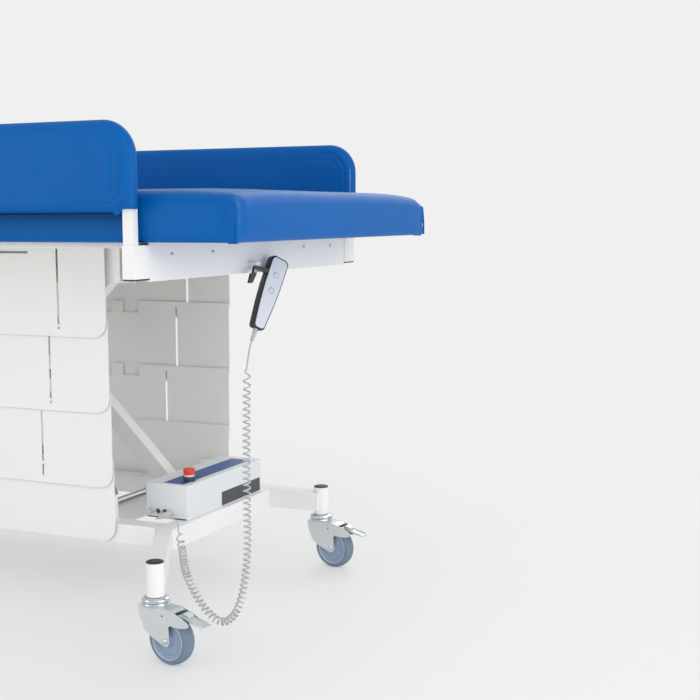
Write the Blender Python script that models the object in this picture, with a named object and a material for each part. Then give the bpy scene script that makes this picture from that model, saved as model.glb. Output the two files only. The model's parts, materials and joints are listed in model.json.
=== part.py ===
"""Mobile changing table: scissor lift on casters, telescopic guard panels, padded top and side rails.

Metres, +Z up. The origin is on the floor under the middle of the mattress, +X points to the end
that carries the control box and the handset, and -Y is the near side.
"""

import math

import bmesh
import bpy
from mathutils import Matrix, Vector

# Fits
GAP = 0.0003
SMOOTH_ANGLE = math.radians(35)
ROUND_SIDES = 12
BIG_ROUND_SIDES = 18
WHEEL_SIDES = 24

# Base frame
BEAM = 0.050
BEAM_TOP = 0.202
CROSS_X = 0.515
CASTER_X = 0.685
CASTER_Y = 0.411
LEG_WIDE = 0.038
UNIT_HALF = 0.249
POST_R = 0.020
POST_LOW = 0.142
POST_TOP = 0.216
BOX_TAB = 0.006
BOX_TAB_WIDTH = 0.040
BEARING_HALF = 0.025
BEARING_WALL = 0.016

# Lift
PIVOT_X = 0.325
ROLLER_R = 0.030
TRACK_ROLLER_R = 0.018
ROLLER_WIDTH = 0.036
TRACK_ROLLER_SIDE = 0.001
HIGH_Z = 0.830
ARM_ANGLE = math.radians(44.5)
ARM_DEPTH = 0.048
ARM_WIDTH = 0.040
ARM_A_INSET = 0.187
ARM_B_INSET = 0.079
SHAFT_R = 0.0125
TOP_PIN_R = 0.010
LIFT_SLACK = 0.0130
LUG_R = 0.011
LUG_ALONG = 0.340
ACTUATOR_X = 0.220
ACTUATOR_Z = 0.180
ACTUATOR_Y = 0.108
ACTUATOR_R = 0.022
ACTUATOR_BODY = 0.215
ACTUATOR_NECK = 0.030
ACTUATOR_NECK_R = 0.012
ACTUATOR_STROKE = 0.068
ACTUATOR_PIN_R = 0.006
ACTUATOR_EYE_HALF = 0.0225
ROD_R = 0.010
ROD_EYE_SLACK = 0.0060
ROD_EYE_WALL = 0.007
ROD_EYE_HALF = 0.010
LUG_PLATE = 0.008
CROSSBAR_AWAY = 0.042
CROSSBAR_WIDE = 0.040

# Guard panels
SHEET = 0.002
PANEL_STEP = 0.006
PANEL_CLEAR = 0.006
PANEL_HALF = 0.3785
PANEL_1_LOW = 0.662
PANEL_RISE = 0.1855
PANEL_HEIGHT = 0.2315
PANEL_4_LOW = 0.156
PANEL_4_HEIGHT = 0.205
PANEL_CORNER = 0.038
PANEL_EDGE_CORNER = 0.004
SLOT_X = 0.239
SLOT_STEP = 0.0345
SLOT_UP = 0.018
SLOT_LENGTH = 0.197
SLOT_WIDTH = 0.006
STUD_R = 0.0025
STUD_HEAD_R = 0.005
STUD_HEAD = 0.0028
STUD_DOWN = 0.019
NOTCH_NEAR = 0.020
NOTCH_FAR = 0.075
NOTCH_DEEP = 0.034
VENT_NEAR = 0.038
VENT_FAR = 0.152
VENT_Z = 0.867
VENT_TALL = 0.006
FLANGE_REACH = 0.036
SPACER_R = 0.008
SPACER_X = 0.300

# Top frame
CHANNEL_OUT = 0.003
CHANNEL_DEPTH = 0.044
CHANNEL_WALL = 0.004
CHANNEL_LOW = 0.795
CHANNEL_RIGHT = 0.410
CHANNEL_LEFT = 0.580
BOARD_LOW = 0.8887
BOARD = 0.012
BOARD_INSET = 0.010
END_X = 0.728
END_PLATE = 0.003
END_LOW = 0.821
END_INSET = 0.022
SLEEVE_LAP = 0.006
SLEEVE_DEEP = 0.059
SLEEVE_LOW_X = 0.7035
SLEEVE_HIGH_X = 0.7315
SLEEVE_TALL = 0.068
SLEEVE_DROP = 0.0047
BRACKET_BAR = 0.040
BRACKET_PLATE = 0.008
BRACKET_GAP = 0.014
BRACKET_LOW = 0.791
HANGER_REACH = 0.022
HANGER_Y = -0.050
HANGER_WIDTH = 0.020
HANGER_LOW = 0.827
HANGER_TALL = 0.020

# Upholstery and rails
MATTRESS_HALF_X = 0.950
MATTRESS_HALF_Y = 0.502
MATTRESS_EDGE_TALL = 0.074
MATTRESS_TALL = 0.114
MATTRESS_DRAW = 0.007
MATTRESS_ROLL = 0.010
CROWN_POWER_X = 8
CROWN_POWER_Y = 4
CROWN_EASE = 0.6
MATTRESS_ALONG = 18
MATTRESS_ACROSS = 10
PAD_HALF_X = 0.738
PAD_CLEAR = 0.062
PAD_TALL = 0.188
PAD_OUT = 0.007
PAD_THICK = 0.046
PAD_EDGE_THICK = 0.026
PAD_CORNER = 0.075
PAD_LOW_CORNER = 0.008
PAD_FACE_INSET = 0.026
PAD_ROLL_INSET = 0.010
RAIL_POST_X = 0.7175
RAIL_POST_OUT = 0.042
RAIL_POST_WIDE = 0.025
RAIL_POST_DEEP = 0.017
RAIL_POST_UP = 0.004
RAIL_POST_IN = 0.120

# Casters
WHEEL_R = 0.055
WHEEL_WIDE = 0.034
WHEEL_SHOULDER = 0.006
HUB_R = 0.033
HUB_BOSS_R = 0.012
HUB_BOSS_FOOT_R = 0.015
HUB_DISH = 0.005
AXLE_R = 0.004
CASTER_TRAIL = 0.045
CASTER_YAW = math.radians(-10)
FORK_INSIDE = 0.019
FORK_PLATE = 0.0025
FORK_TOP = 0.1225
FORK_CROWN = 0.006
FORK_REAR = 0.012
FORK_FRONT = 0.012
FORK_AXLE_BOSS = 0.014
FORK_PIN_BOSS = 0.008
SWIVEL_SINK = 0.003
SWIVEL_R = 0.031
PEDAL_X = 0.076
PEDAL_Z = 0.111
PEDAL_PIN_R = 0.003
PEDAL_REACH = 0.147
PEDAL_DROP = 0.010
PEDAL_THICK = 0.004
PEDAL_HALF = 0.014

# Control box and emergency stop
BOX_LOW_X = 0.402
BOX_HIGH_X = 0.527
BOX_NEAR_Y = -0.020
BOX_FAR_Y = 0.360
BOX_TALL = 0.0877
BOX_CORNER = 0.008
STOP_X = 0.498
STOP_Y = 0.035
STOP_R = 0.0155
STOP_WAIST_R = 0.0133
STOP_FACE_R = 0.0140
STOP_EDGE = 0.004
STOP_COLLAR = 0.012
STOP_STEM_R = 0.007
STOP_STEM_FIT = 0.0005
STOP_TRAVEL = 0.004
STOP_HEAD = 0.021
STOP_DEPTH = 0.014

# Handset and its curly cord
HANDSET_TOP = Vector((0.760, 0.033, 0.851))
HANDSET_LOW = Vector((0.741, -0.051, 0.690))
HANDSET_YAW = math.radians(-32)
HANDSET_LENGTH = 0.183
HANDSET_TOP_WIDE = 0.050
HANDSET_LOW_WIDE = 0.034
HANDSET_THICK = 0.025
HANDSET_EDGE = 0.006
HOOK_THICK = 0.005
HOOK_TIP = 0.801
STRAP_INSET = 0.001
RELIEF_LENGTH = 0.030
RELIEF_R = 0.0045
RELIEF_ROOT_R = 0.00675
RELIEF_ROOT = 0.015
KEY_R = 0.0075
KEY_FACE_R = 0.006
KEY_FIT = 0.0005
KEY_DEEP = 0.004
KEY_PROUD = 0.0018
KEY_FIRST = 0.045
KEY_STEP = 0.040
WIRE_R = 0.002
CURL_R = 0.00775
CURLS = 70
CURL_POINTS = 8
CURL_PITCHES = (
    0.0280, 0.0150, 0.0148, 0.0145, 0.0145, 0.0140, 0.0135, 0.0125,
    0.0115, 0.0110, 0.0110, 0.0110, 0.0110, 0.0115, 0.0125, 0.0280,
)
ROUTE_SAMPLES = 1600
LEAST_CORD_GAP = 0.0004
PLUG_X = 0.478
PLUG_Z = 0.219
PLUG_R = 0.007
PLUG_TAIL_R = 0.0042
PLUG_TAPER = 0.014
PLUG_LENGTH = 0.040
CORD_LEAD = [
    Vector((0.742, -0.087, 0.637)),
]
CORD_COIL = [
    Vector((0.750, -0.112, 0.609)),
    Vector((0.750, -0.119, 0.414)),
    Vector((0.750, -0.120, 0.296)),
    Vector((0.752, -0.128, 0.155)),
    Vector((0.756, -0.175, 0.060)),
    Vector((0.748, -0.235, 0.039)),
    Vector((0.712, -0.258, 0.077)),
    Vector((0.660, -0.243, 0.140)),
    Vector((0.606, -0.175, 0.175)),
    Vector((0.572, -0.136, 0.215)),
]
CORD_TAIL = [
    Vector((0.558, -0.1215, 0.2275)),
    Vector((0.530, -0.113, 0.2305)),
    Vector((0.500, -0.108, 0.2255)),
    Vector((0.483, -0.096, 0.2205)),
]

# Places that follow from the sizes above
BEAM_LOW = BEAM_TOP - BEAM
UNIT_Y = CASTER_Y - UNIT_HALF
NEAR_BEAM_Y = UNIT_Y - UNIT_HALF
FAR_BEAM_Y = UNIT_Y + UNIT_HALF
ARM_A_Y = FAR_BEAM_Y - ARM_A_INSET
ARM_B_Y = NEAR_BEAM_Y + ARM_B_INSET
PANEL_INNER = UNIT_HALF + BEAM / 2 + PANEL_CLEAR
CHANNEL_OUTER = PANEL_INNER + CHANNEL_OUT
LOW_Z = BEAM_TOP + GAP + ROLLER_R
ARM_LENGTH = (HIGH_Z - LOW_Z) / math.sin(ARM_ANGLE)
ARM_REACH = ARM_LENGTH * math.cos(ARM_ANGLE)
BOARD_TOP = BOARD_LOW + BOARD
CHANNEL_TOP = BOARD_LOW - 2 * GAP - SHEET
MATTRESS_LOW = BOARD_TOP + GAP
MATTRESS_EDGE = MATTRESS_LOW + MATTRESS_EDGE_TALL
MATTRESS_CROWN = MATTRESS_LOW + MATTRESS_TALL
END_HALF_Y = MATTRESS_HALF_Y - END_INSET
BOARD_HALF_Y = END_HALF_Y - BOARD_INSET
SLEEVE_INNER_Y = END_HALF_Y - SLEEVE_LAP
SLEEVE_OUTER_Y = SLEEVE_INNER_Y + SLEEVE_DEEP
SLEEVE_TOP = BOARD_TOP - SLEEVE_DROP
SLEEVE_LOW = SLEEVE_TOP - SLEEVE_TALL
PAD_LOW = SLEEVE_TOP + PAD_CLEAR
PAD_TOP = PAD_LOW + PAD_TALL
RAIL_POST_Y = END_HALF_Y + RAIL_POST_OUT
PAD_MIDDLE_Y = RAIL_POST_Y + PAD_OUT
RAIL_POST_LOW = SLEEVE_LOW + RAIL_POST_UP
BOX_LOW = BEAM_TOP + GAP
BOX_TOP = BOX_LOW + BOX_TALL
RAIL_POST_TOP = PAD_LOW + RAIL_POST_IN
SIDES = (("near", -1), ("far", 1))
ENDS = (("right", 1), ("left", -1))

FINISHES = {
    "white_powder_coat": ((0.90, 0.90, 0.88), 0.45, 0.0),
    "blue_vinyl": ((0.010, 0.125, 0.462), 0.42, 0.0),
    "grey_plastic": ((0.69, 0.73, 0.76), 0.50, 0.0),
    "red_plastic": ((0.76, 0.063, 0.028), 0.35, 0.0),
    "dark_plastic": ((0.020, 0.029, 0.028), 0.50, 0.0),
    "pale_plastic": ((0.66, 0.70, 0.76), 0.45, 0.0),
    "cord_plastic": ((0.66, 0.66, 0.66), 0.50, 0.0),
    "zinc": ((0.62, 0.62, 0.60), 0.35, 1.0),
    "steel": ((0.55, 0.55, 0.55), 0.30, 1.0),
    "grey_tyre": ((0.16, 0.23, 0.30), 0.60, 0.0),
    "board": ((0.80, 0.80, 0.78), 0.45, 0.0),
}


def material(finish):
    """Return the material of a named finish, made once."""
    known = bpy.data.materials.get(finish)
    if known:
        return known
    colour, roughness, metallic = FINISHES[finish]
    made = bpy.data.materials.new(finish)
    made.use_nodes = True
    shader = made.node_tree.nodes["Principled BSDF"]
    shader.inputs["Base Color"].default_value = (*colour, 1.0)
    shader.inputs["Roughness"].default_value = roughness
    shader.inputs["Metallic"].default_value = metallic
    return made


def put(name, shape, finish, origin=(0.0, 0.0, 0.0), parent=None):
    """Make a named object of a shape, with its origin at the given point."""
    origin = Vector(origin)
    bmesh.ops.translate(shape, verts=shape.verts, vec=-origin)
    bmesh.ops.recalc_face_normals(shape, faces=shape.faces)
    mesh = bpy.data.meshes.new(name)
    shape.to_mesh(mesh)
    shape.free()
    mesh.shade_smooth()
    mesh.set_sharp_from_angle(angle=SMOOTH_ANGLE)
    mesh.materials.append(material(finish))
    item = bpy.data.objects.new(name, mesh)
    item.location = origin
    item.parent = parent
    bpy.context.scene.collection.objects.link(item)
    return item


def boolean(shape, other, operation):
    """Return the body that a Boolean makes of two closed bodies."""
    items = []
    for body in (shape, other):
        bmesh.ops.recalc_face_normals(body, faces=body.faces)
        mesh = bpy.data.meshes.new("work")
        body.to_mesh(mesh)
        body.free()
        item = bpy.data.objects.new("work", mesh)
        bpy.context.scene.collection.objects.link(item)
        items.append(item)
    step = items[0].modifiers.new("work", "BOOLEAN")
    step.operation = operation
    step.object = items[1]
    step.solver = "EXACT"
    bpy.context.view_layer.update()
    result = bmesh.new()
    result.from_object(items[0], bpy.context.evaluated_depsgraph_get())
    for item in items:
        mesh = item.data
        bpy.data.objects.remove(item)
        bpy.data.meshes.remove(mesh)
    return result


def united(shape, *others):
    """Join overlapping bodies into one."""
    for other in others:
        shape = boolean(shape, other, "UNION")
    return shape


def cut(shape, *cutters):
    """Cut bodies out of a shape."""
    for cutter in cutters:
        shape = boolean(shape, cutter, "DIFFERENCE")
    return shape


AXES = {"X": (1, 2, 0), "Y": (0, 2, 1), "Z": (0, 1, 2)}


def spot(axis, u, v, along):
    """Return the point at (u, v) in the plane across an axis, and at a place along it."""
    place = [0.0, 0.0, 0.0]
    first, second, third = AXES[axis]
    place[first] = u
    place[second] = v
    place[third] = along
    return place


def prism(outline, axis, low, high, holes=()):
    """Extrude an outline with holes along an axis. The outline's plane is YZ, XZ or XY."""
    shape = bmesh.new()
    edges = []
    for loop in (outline, *holes):
        points = [shape.verts.new(spot(axis, u, v, low)) for u, v in loop]
        for index, point in enumerate(points):
            edges.append(shape.edges.new((points[index - 1], point)))
    bmesh.ops.triangle_fill(shape, use_beauty=True, edges=edges)
    grown = bmesh.ops.extrude_face_region(shape, geom=shape.faces[:])
    moved = [part for part in grown["geom"] if isinstance(part, bmesh.types.BMVert)]
    bmesh.ops.translate(shape, verts=moved, vec=Vector(spot(axis, 0.0, 0.0, high - low)))
    return shape


def arc(u, v, radius, start, end, steps):
    """Return points on an arc, with angles in degrees."""
    points = []
    for step in range(steps + 1):
        angle = math.radians(start + (end - start) * step / steps)
        points.append((u + radius * math.cos(angle), v + radius * math.sin(angle)))
    return points


def circle(u, v, radius, sides=ROUND_SIDES):
    """Return a closed circle of points."""
    return arc(u, v, radius, 0, 360, sides)[:-1]


def bore(u, v, radius, sides=ROUND_SIDES):
    """Return a hole whose flats clear a bar of the given radius as it turns."""
    return circle(u, v, (radius + GAP) / math.cos(math.pi / sides), sides)


def rectangle(u0, v0, u1, v1):
    """Return a rectangle's corners."""
    return [(u0, v0), (u1, v0), (u1, v1), (u0, v1)]


def rounded(u0, v0, u1, v1, low_radius, top_radius, steps=4):
    """Return a rectangle with round lower and upper corners."""
    points = arc(u0 + low_radius, v0 + low_radius, low_radius, 180, 270, steps)
    points += arc(u1 - low_radius, v0 + low_radius, low_radius, 270, 360, steps)
    points += arc(u1 - top_radius, v1 - top_radius, top_radius, 0, 90, steps)
    points += arc(u0 + top_radius, v1 - top_radius, top_radius, 90, 180, steps)
    return points


def obround(start, end, radius, steps=6):
    """Return the outline of a bar with round ends between two points."""
    turn = math.degrees(math.atan2(end[1] - start[1], end[0] - start[0]))
    points = arc(*start, radius, turn + 90, turn + 270, steps)
    points += arc(*end, radius, turn - 90, turn + 90, steps)
    return points


def box(low, high):
    """Return a block between two corners."""
    return prism(rectangle(low[0], low[1], high[0], high[1]), "Z", low[2], high[2])


def bar(axis, u, v, radius, low, high, sides=ROUND_SIDES):
    """Return a round bar along an axis."""
    return prism(circle(u, v, radius, sides), axis, low, high)


def turned(profile, sides=ROUND_SIDES):
    """Turn a profile of (radius, height) pairs about Z. A closed ring starts and ends off the axis."""
    shape = bmesh.new()
    rings = []
    for radius, height in profile:
        if radius == 0.0:
            rings.append([shape.verts.new((0.0, 0.0, height))])
            continue
        loop = circle(0.0, 0.0, radius, sides)
        rings.append([shape.verts.new((x, y, height)) for x, y in loop])
    if len(rings[0]) > 1:
        rings.append(rings[0])
    for lower, upper in zip(rings, rings[1:]):
        for index in range(sides):
            corners = [lower[index - 1], lower[index]] if len(lower) > 1 else [lower[0]]
            corners += [upper[index], upper[index - 1]] if len(upper) > 1 else [upper[0]]
            shape.faces.new(corners)
    return shape


def lofted(rings):
    """Skin a list of closed rings of points, with both ends filled."""
    shape = bmesh.new()
    loops = [[shape.verts.new(point) for point in ring] for ring in rings]
    for lower, upper in zip(loops, loops[1:]):
        for index in range(len(lower)):
            shape.faces.new((lower[index - 1], lower[index], upper[index], upper[index - 1]))
    shape.faces.new(loops[0])
    shape.faces.new(loops[-1])
    return shape


def placed(shape, matrix):
    """Move a shape by a matrix."""
    bmesh.ops.transform(shape, matrix=matrix, verts=shape.verts)
    return shape


def beam_with_bearing(half_length, middle_y):
    """Return a long beam with the bearing block of the lower pivot on its top."""
    block_top = LOW_Z + SHAFT_R + BEARING_WALL
    outline = [
        (-half_length, BEAM_LOW),
        (half_length, BEAM_LOW),
        (half_length, BEAM_TOP),
        (PIVOT_X + BEARING_HALF, BEAM_TOP),
        (PIVOT_X + BEARING_HALF, block_top),
        (PIVOT_X - BEARING_HALF, block_top),
        (PIVOT_X - BEARING_HALF, BEAM_TOP),
        (-half_length, BEAM_TOP),
    ]
    hole = bore(PIVOT_X, LOW_Z, SHAFT_R)
    return prism(outline, "Y", middle_y - BEAM / 2, middle_y + BEAM / 2, [hole])


def corner_post(x, y):
    """Return the upright tube over a caster."""
    return bar("Z", x, y, POST_R, POST_LOW, POST_TOP, BIG_ROUND_SIDES)


def base_beams():
    """Make the two long beams, the cross beams and the sloping near legs."""
    near_half = CROSS_X - BEAM / 2 - GAP
    put("near_beam", beam_with_bearing(near_half, NEAR_BEAM_Y), "white_powder_coat")
    far = beam_with_bearing(CASTER_X, FAR_BEAM_Y)
    posts = [corner_post(sign * CASTER_X, CASTER_Y) for _, sign in ENDS]
    put("far_beam", united(far, *posts), "white_powder_coat")
    near_face = NEAR_BEAM_Y - BEAM / 2
    far_face = FAR_BEAM_Y - BEAM / 2 - GAP
    for end, sign in ENDS:
        middle = sign * CROSS_X
        cross = box((middle - BEAM / 2, near_face, BEAM_LOW), (middle + BEAM / 2, far_face, BEAM_TOP))
        if end == "right":
            cross = united(cross, *box_tabs(middle))
        put("cross_beam_" + end, cross, "white_powder_coat")
        leg = sloping_leg(near_face - GAP)
        leg = united(leg, corner_post(CASTER_X, -CASTER_Y))
        if sign < 0:
            leg = placed(leg, Matrix.Scale(-1.0, 4, (1.0, 0.0, 0.0)))
        put("near_leg_" + end, leg, "white_powder_coat")


def box_tabs(middle):
    """Return the two tabs on the cross beam that carry the control box."""
    quarter = (BOX_FAR_Y - BOX_NEAR_Y) / 4
    tabs = []
    for y in (BOX_NEAR_Y + quarter, BOX_FAR_Y - quarter):
        low = (BOX_LOW_X, y - BOX_TAB_WIDTH / 2, BEAM_TOP - BOX_TAB)
        tabs.append(box(low, (middle, y + BOX_TAB_WIDTH / 2, BEAM_TOP)))
    return tabs


def sloping_leg(start_y):
    """Return the bar from the end of the cross beam out to the near caster's post."""
    run = Vector((CASTER_X - CROSS_X, -CASTER_Y - start_y))
    side = Vector((-run.y, run.x)).normalized() * LEG_WIDE / 2
    slope = run.x / run.y
    outline = []
    for sign in (1, -1):
        offset = sign * side
        outline.append((CROSS_X + offset.x - offset.y * slope, start_y))
    for sign in (-1, 1):
        outline.append((CASTER_X + sign * side.x, -CASTER_Y + sign * side.y))
    return prism(outline, "Z", BEAM_LOW, BEAM_TOP)


def arm_point(along, rising=False):
    """Return (x, z) at a distance from the lower end of an arm. Arm B rises towards +X."""
    across = along * math.cos(ARM_ANGLE)
    height = LOW_Z + along * math.sin(ARM_ANGLE)
    if rising:
        return (PIVOT_X - ARM_REACH + across, height)
    return (PIVOT_X - across, height)


def lift_arms():
    """Make the two crossed arms with the shafts and live roller axles at their ends."""
    low, middle, high = (arm_point(ARM_LENGTH * share) for share in (0.0, 0.5, 1.0))
    holes = [bore(*point, SHAFT_R) for point in (low, middle, high)]
    holes.append(bore(*arm_point(LUG_ALONG), LUG_R))
    outline = obround(low, high, ARM_DEPTH / 2)
    arm = prism(outline, "Y", ARM_A_Y - ARM_WIDTH / 2, ARM_A_Y + ARM_WIDTH / 2, holes)
    put("fixed_foot_arm", arm, "white_powder_coat", (low[0], ARM_A_Y, low[1]))
    low_b, high_b = arm_point(0.0, True), arm_point(ARM_LENGTH, True)
    holes = [bore(*low_b, SHAFT_R), bore(*middle, SHAFT_R), bore(*high_b, TOP_PIN_R)]
    outline = obround(low_b, high_b, ARM_DEPTH / 2)
    arm = prism(outline, "Y", ARM_B_Y - ARM_WIDTH / 2, ARM_B_Y + ARM_WIDTH / 2, holes)
    put("rolling_foot_arm", arm, "white_powder_coat", (middle[0], ARM_B_Y, middle[1]))

    shaft = bar("Y", *low, SHAFT_R, NEAR_BEAM_Y - BEAM / 2, FAR_BEAM_Y + BEAM / 2)
    put("lower_pivot_shaft", shaft, "steel", (low[0], UNIT_Y, low[1]))
    shaft = bar("Y", *middle, SHAFT_R, ARM_B_Y - ARM_WIDTH / 2, ARM_A_Y + ARM_WIDTH / 2)
    put("centre_shaft", shaft, "steel", (middle[0], UNIT_Y, middle[1]))
    lug_near = ACTUATOR_Y - 2 * ROD_EYE_HALF
    lug = bar("Y", *arm_point(LUG_ALONG), LUG_R, lug_near, ARM_A_Y + ARM_WIDTH / 2)
    put("lift_lug", lug, "steel", (low[0], UNIT_Y, low[1]))
    axle = roller_axle(low_b, ROLLER_R, UNIT_HALF + ROLLER_WIDTH / 2)
    put("lower_roller_axle", axle, "steel", (low_b[0], UNIT_Y, low_b[1]))
    axle = roller_axle(high, TRACK_ROLLER_R, CHANNEL_OUTER - CHANNEL_WALL - TRACK_ROLLER_SIDE)
    put("upper_roller_axle", axle, "steel", (high[0], UNIT_Y, high[1]))
    reach = ARM_WIDTH / 2 + BRACKET_GAP + BRACKET_PLATE
    pin = bar("Y", *high_b, TOP_PIN_R, ARM_B_Y - reach, ARM_B_Y + reach)
    put("upper_pivot_shaft", pin, "steel", (high_b[0], ARM_B_Y, high_b[1]))


def roller_axle(point, radius, half):
    """Return a live axle of a given half length with a roller at each end."""
    axle = bar("Y", *point, SHAFT_R, UNIT_Y - half, UNIT_Y + half)
    rollers = []
    for _, sign in SIDES:
        edges = sorted(UNIT_Y + sign * edge for edge in (half - ROLLER_WIDTH, half))
        rollers.append(bar("Y", *point, radius, *edges, BIG_ROUND_SIDES))
    return united(axle, *rollers)


def actuator():
    """Make the lift actuator between its crossbar on the base and the lug on an arm."""
    foot = (ACTUATOR_X, ACTUATOR_Z)
    lug = arm_point(LUG_ALONG)
    length = math.hypot(lug[0] - foot[0], lug[1] - foot[1])
    turn = Vector((lug[0] - foot[0], 0.0, lug[1] - foot[1])).to_track_quat("Z", "Y").to_matrix().to_4x4()
    frame = Matrix.Translation((foot[0], ACTUATOR_Y, foot[1])) @ turn
    eye_r = ACTUATOR_PIN_R + LUG_PLATE
    eye = bar("Y", *foot, eye_r, ACTUATOR_Y - ACTUATOR_EYE_HALF, ACTUATOR_Y + ACTUATOR_EYE_HALF)
    half_pin = ACTUATOR_EYE_HALF + LUG_PLATE + 2 * GAP
    pin = bar("Y", *foot, ACTUATOR_PIN_R, ACTUATOR_Y - half_pin, ACTUATOR_Y + half_pin)
    profile = [(0.0, 0.0), (ACTUATOR_NECK_R, 0.0), (ACTUATOR_NECK_R, ACTUATOR_NECK)]
    profile += [(ACTUATOR_R, ACTUATOR_NECK), (ACTUATOR_R, ACTUATOR_BODY), (0.0, ACTUATOR_BODY)]
    barrel = cut(placed(turned(profile), frame), rod_bore(frame))
    put("actuator_body", united(barrel, eye, pin), "steel", (foot[0], ACTUATOR_Y, foot[1]))

    ring = LUG_R + ROD_EYE_SLACK
    loops = circle(*lug, ring + ROD_EYE_WALL, BIG_ROUND_SIDES)
    hole = circle(*lug, ring, BIG_ROUND_SIDES)
    eye = prism(loops, "Y", ACTUATOR_Y - ROD_EYE_HALF, ACTUATOR_Y + ROD_EYE_HALF, [hole])
    start = ACTUATOR_BODY - ROD_R
    end = length - ring - ROD_EYE_WALL / 2
    rod = turned([(0.0, start), (ROD_R, start), (ROD_R, end), (0.0, end)])
    put("actuator_rod", united(eye, placed(rod, frame)), "steel", (lug[0], ACTUATOR_Y, lug[1]))

    middle_x = ACTUATOR_X + CROSSBAR_AWAY
    half = CROSSBAR_WIDE / 2
    near, far = NEAR_BEAM_Y + BEAM / 2 + GAP, FAR_BEAM_Y - BEAM / 2 - GAP
    beam = box((middle_x - half, near, BEAM_LOW), (middle_x + half, far, BEAM_TOP))
    ears = []
    for _, sign in SIDES:
        inner = ACTUATOR_Y + sign * (ACTUATOR_EYE_HALF + GAP)
        edges = sorted((inner, inner + sign * LUG_PLATE))
        outline = obround(foot, (middle_x, ACTUATOR_Z), ACTUATOR_PIN_R + LUG_PLATE)
        ears.append(prism(outline, "Y", *edges, [bore(*foot, ACTUATOR_PIN_R)]))
    put("actuator_crossbar", united(beam, *ears), "white_powder_coat")


def rod_bore(frame):
    """Return the bore in the actuator's barrel that the rod slides in."""
    depth = ACTUATOR_BODY - ACTUATOR_STROKE - 2 * ROD_R
    fit = ROD_R + GAP
    above = ACTUATOR_BODY + ROD_R
    bore = turned([(0.0, depth), (fit, depth), (fit, above), (0.0, above)])
    return placed(bore, frame)


def panel_low(number):
    """Return the height of a panel's lower edge. Panel 1 is the top one."""
    if number == 4:
        return PANEL_4_LOW
    return PANEL_1_LOW - (number - 1) * PANEL_RISE


def panel_top(number):
    """Return the height of a panel's upper edge."""
    if number == 1:
        return BOARD_LOW - GAP
    if number == 4:
        return PANEL_4_LOW + PANEL_4_HEIGHT
    return panel_low(number) + PANEL_HEIGHT


def panel_away(number):
    """Return a panel's middle plane, as a distance from the lift's middle."""
    return PANEL_INNER + (4 - number) * PANEL_STEP


def slot_x(number):
    """Return how far a panel's upright slots are from its middle."""
    return SLOT_X - (number - 1) * SLOT_STEP


def panel_outline(number):
    """Return a panel's outline, with the notches in the upper edge of the lower three."""
    low, top = panel_low(number), panel_top(number)
    points = rounded(-PANEL_HALF, low, PANEL_HALF, top, PANEL_CORNER, PANEL_EDGE_CORNER)
    if number == 1:
        return points
    right_end = points[-len(points) // 4:]
    rest = points[:-len(points) // 4]
    notches = []
    for sign in (1, -1):
        edges = (NOTCH_FAR, NOTCH_NEAR) if sign > 0 else (NOTCH_NEAR, NOTCH_FAR)
        first, last = (sign * edge for edge in edges)
        notches += [(first, top), (first, top - NOTCH_DEEP), (last, top - NOTCH_DEEP), (last, top)]
    return rest + notches + right_end


def panel_holes(number):
    """Return a panel's slots."""
    holes = []
    radius = SLOT_WIDTH / 2
    if number < 4:
        low = panel_low(number) + SLOT_UP
        for sign in (1, -1):
            x = sign * slot_x(number)
            holes.append(obround((x, low + radius), (x, low + SLOT_LENGTH - radius), radius, 4))
    if number == 1:
        for sign in (1, -1):
            start, end = sorted((sign * VENT_NEAR, sign * VENT_FAR))
            vent = VENT_TALL / 2
            holes.append(obround((start + vent, VENT_Z), (end - vent, VENT_Z), vent, 4))
    return holes


def guard_panels():
    """Make four telescopic sheets on each side, with the studs that run in the slots."""
    for side, sign in SIDES:
        for number in (1, 2, 3, 4):
            away = panel_away(number)
            edges = sorted(UNIT_Y + sign * (away + half) for half in (-SHEET / 2, SHEET / 2))
            sheet = prism(panel_outline(number), "Y", *edges, panel_holes(number))
            extras = panel_studs(number, sign) if number > 1 else [panel_flange(sign)]
            if number == 4:
                extras += panel_spacers(sign)
            put("panel_" + side + "_" + str(number), united(sheet, *extras), "white_powder_coat")


def panel_studs(number, sign):
    """Return the headed studs of a panel, through the slots of the panel outside it."""
    away = panel_away(number)
    z = panel_top(number) - STUD_DOWN
    neck = away + PANEL_STEP + SHEET / 2 + GAP
    studs = []
    for x in (slot_x(number - 1), -slot_x(number - 1)):
        shank = sorted(UNIT_Y + sign * edge for edge in (away, neck + STUD_HEAD / 2))
        head = sorted(UNIT_Y + sign * edge for edge in (neck, neck + STUD_HEAD))
        studs.append(bar("Y", x, z, STUD_R, *shank, 8))
        studs.append(bar("Y", x, z, STUD_HEAD_R, *head, 12))
    return studs


def panel_flange(sign):
    """Return the top panel's inward flange, held between the board and the channel."""
    outer = panel_away(1)
    edges = sorted(UNIT_Y + sign * edge for edge in (outer, outer - FLANGE_REACH))
    top = panel_top(1)
    half = PANEL_HALF - PANEL_EDGE_CORNER
    return box((-half, edges[0], top - SHEET), (half, edges[1], top))


def panel_spacers(sign):
    """Return the bosses that hold the lowest panel off its beam."""
    edges = sorted(UNIT_Y + sign * edge for edge in (PANEL_INNER, UNIT_HALF + BEAM / 2 + GAP))
    middle = (BEAM_LOW + BEAM_TOP) / 2
    return [bar("Y", x, middle, SPACER_R, *edges, 12) for x in (-SPACER_X, 0.0, SPACER_X)]


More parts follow.
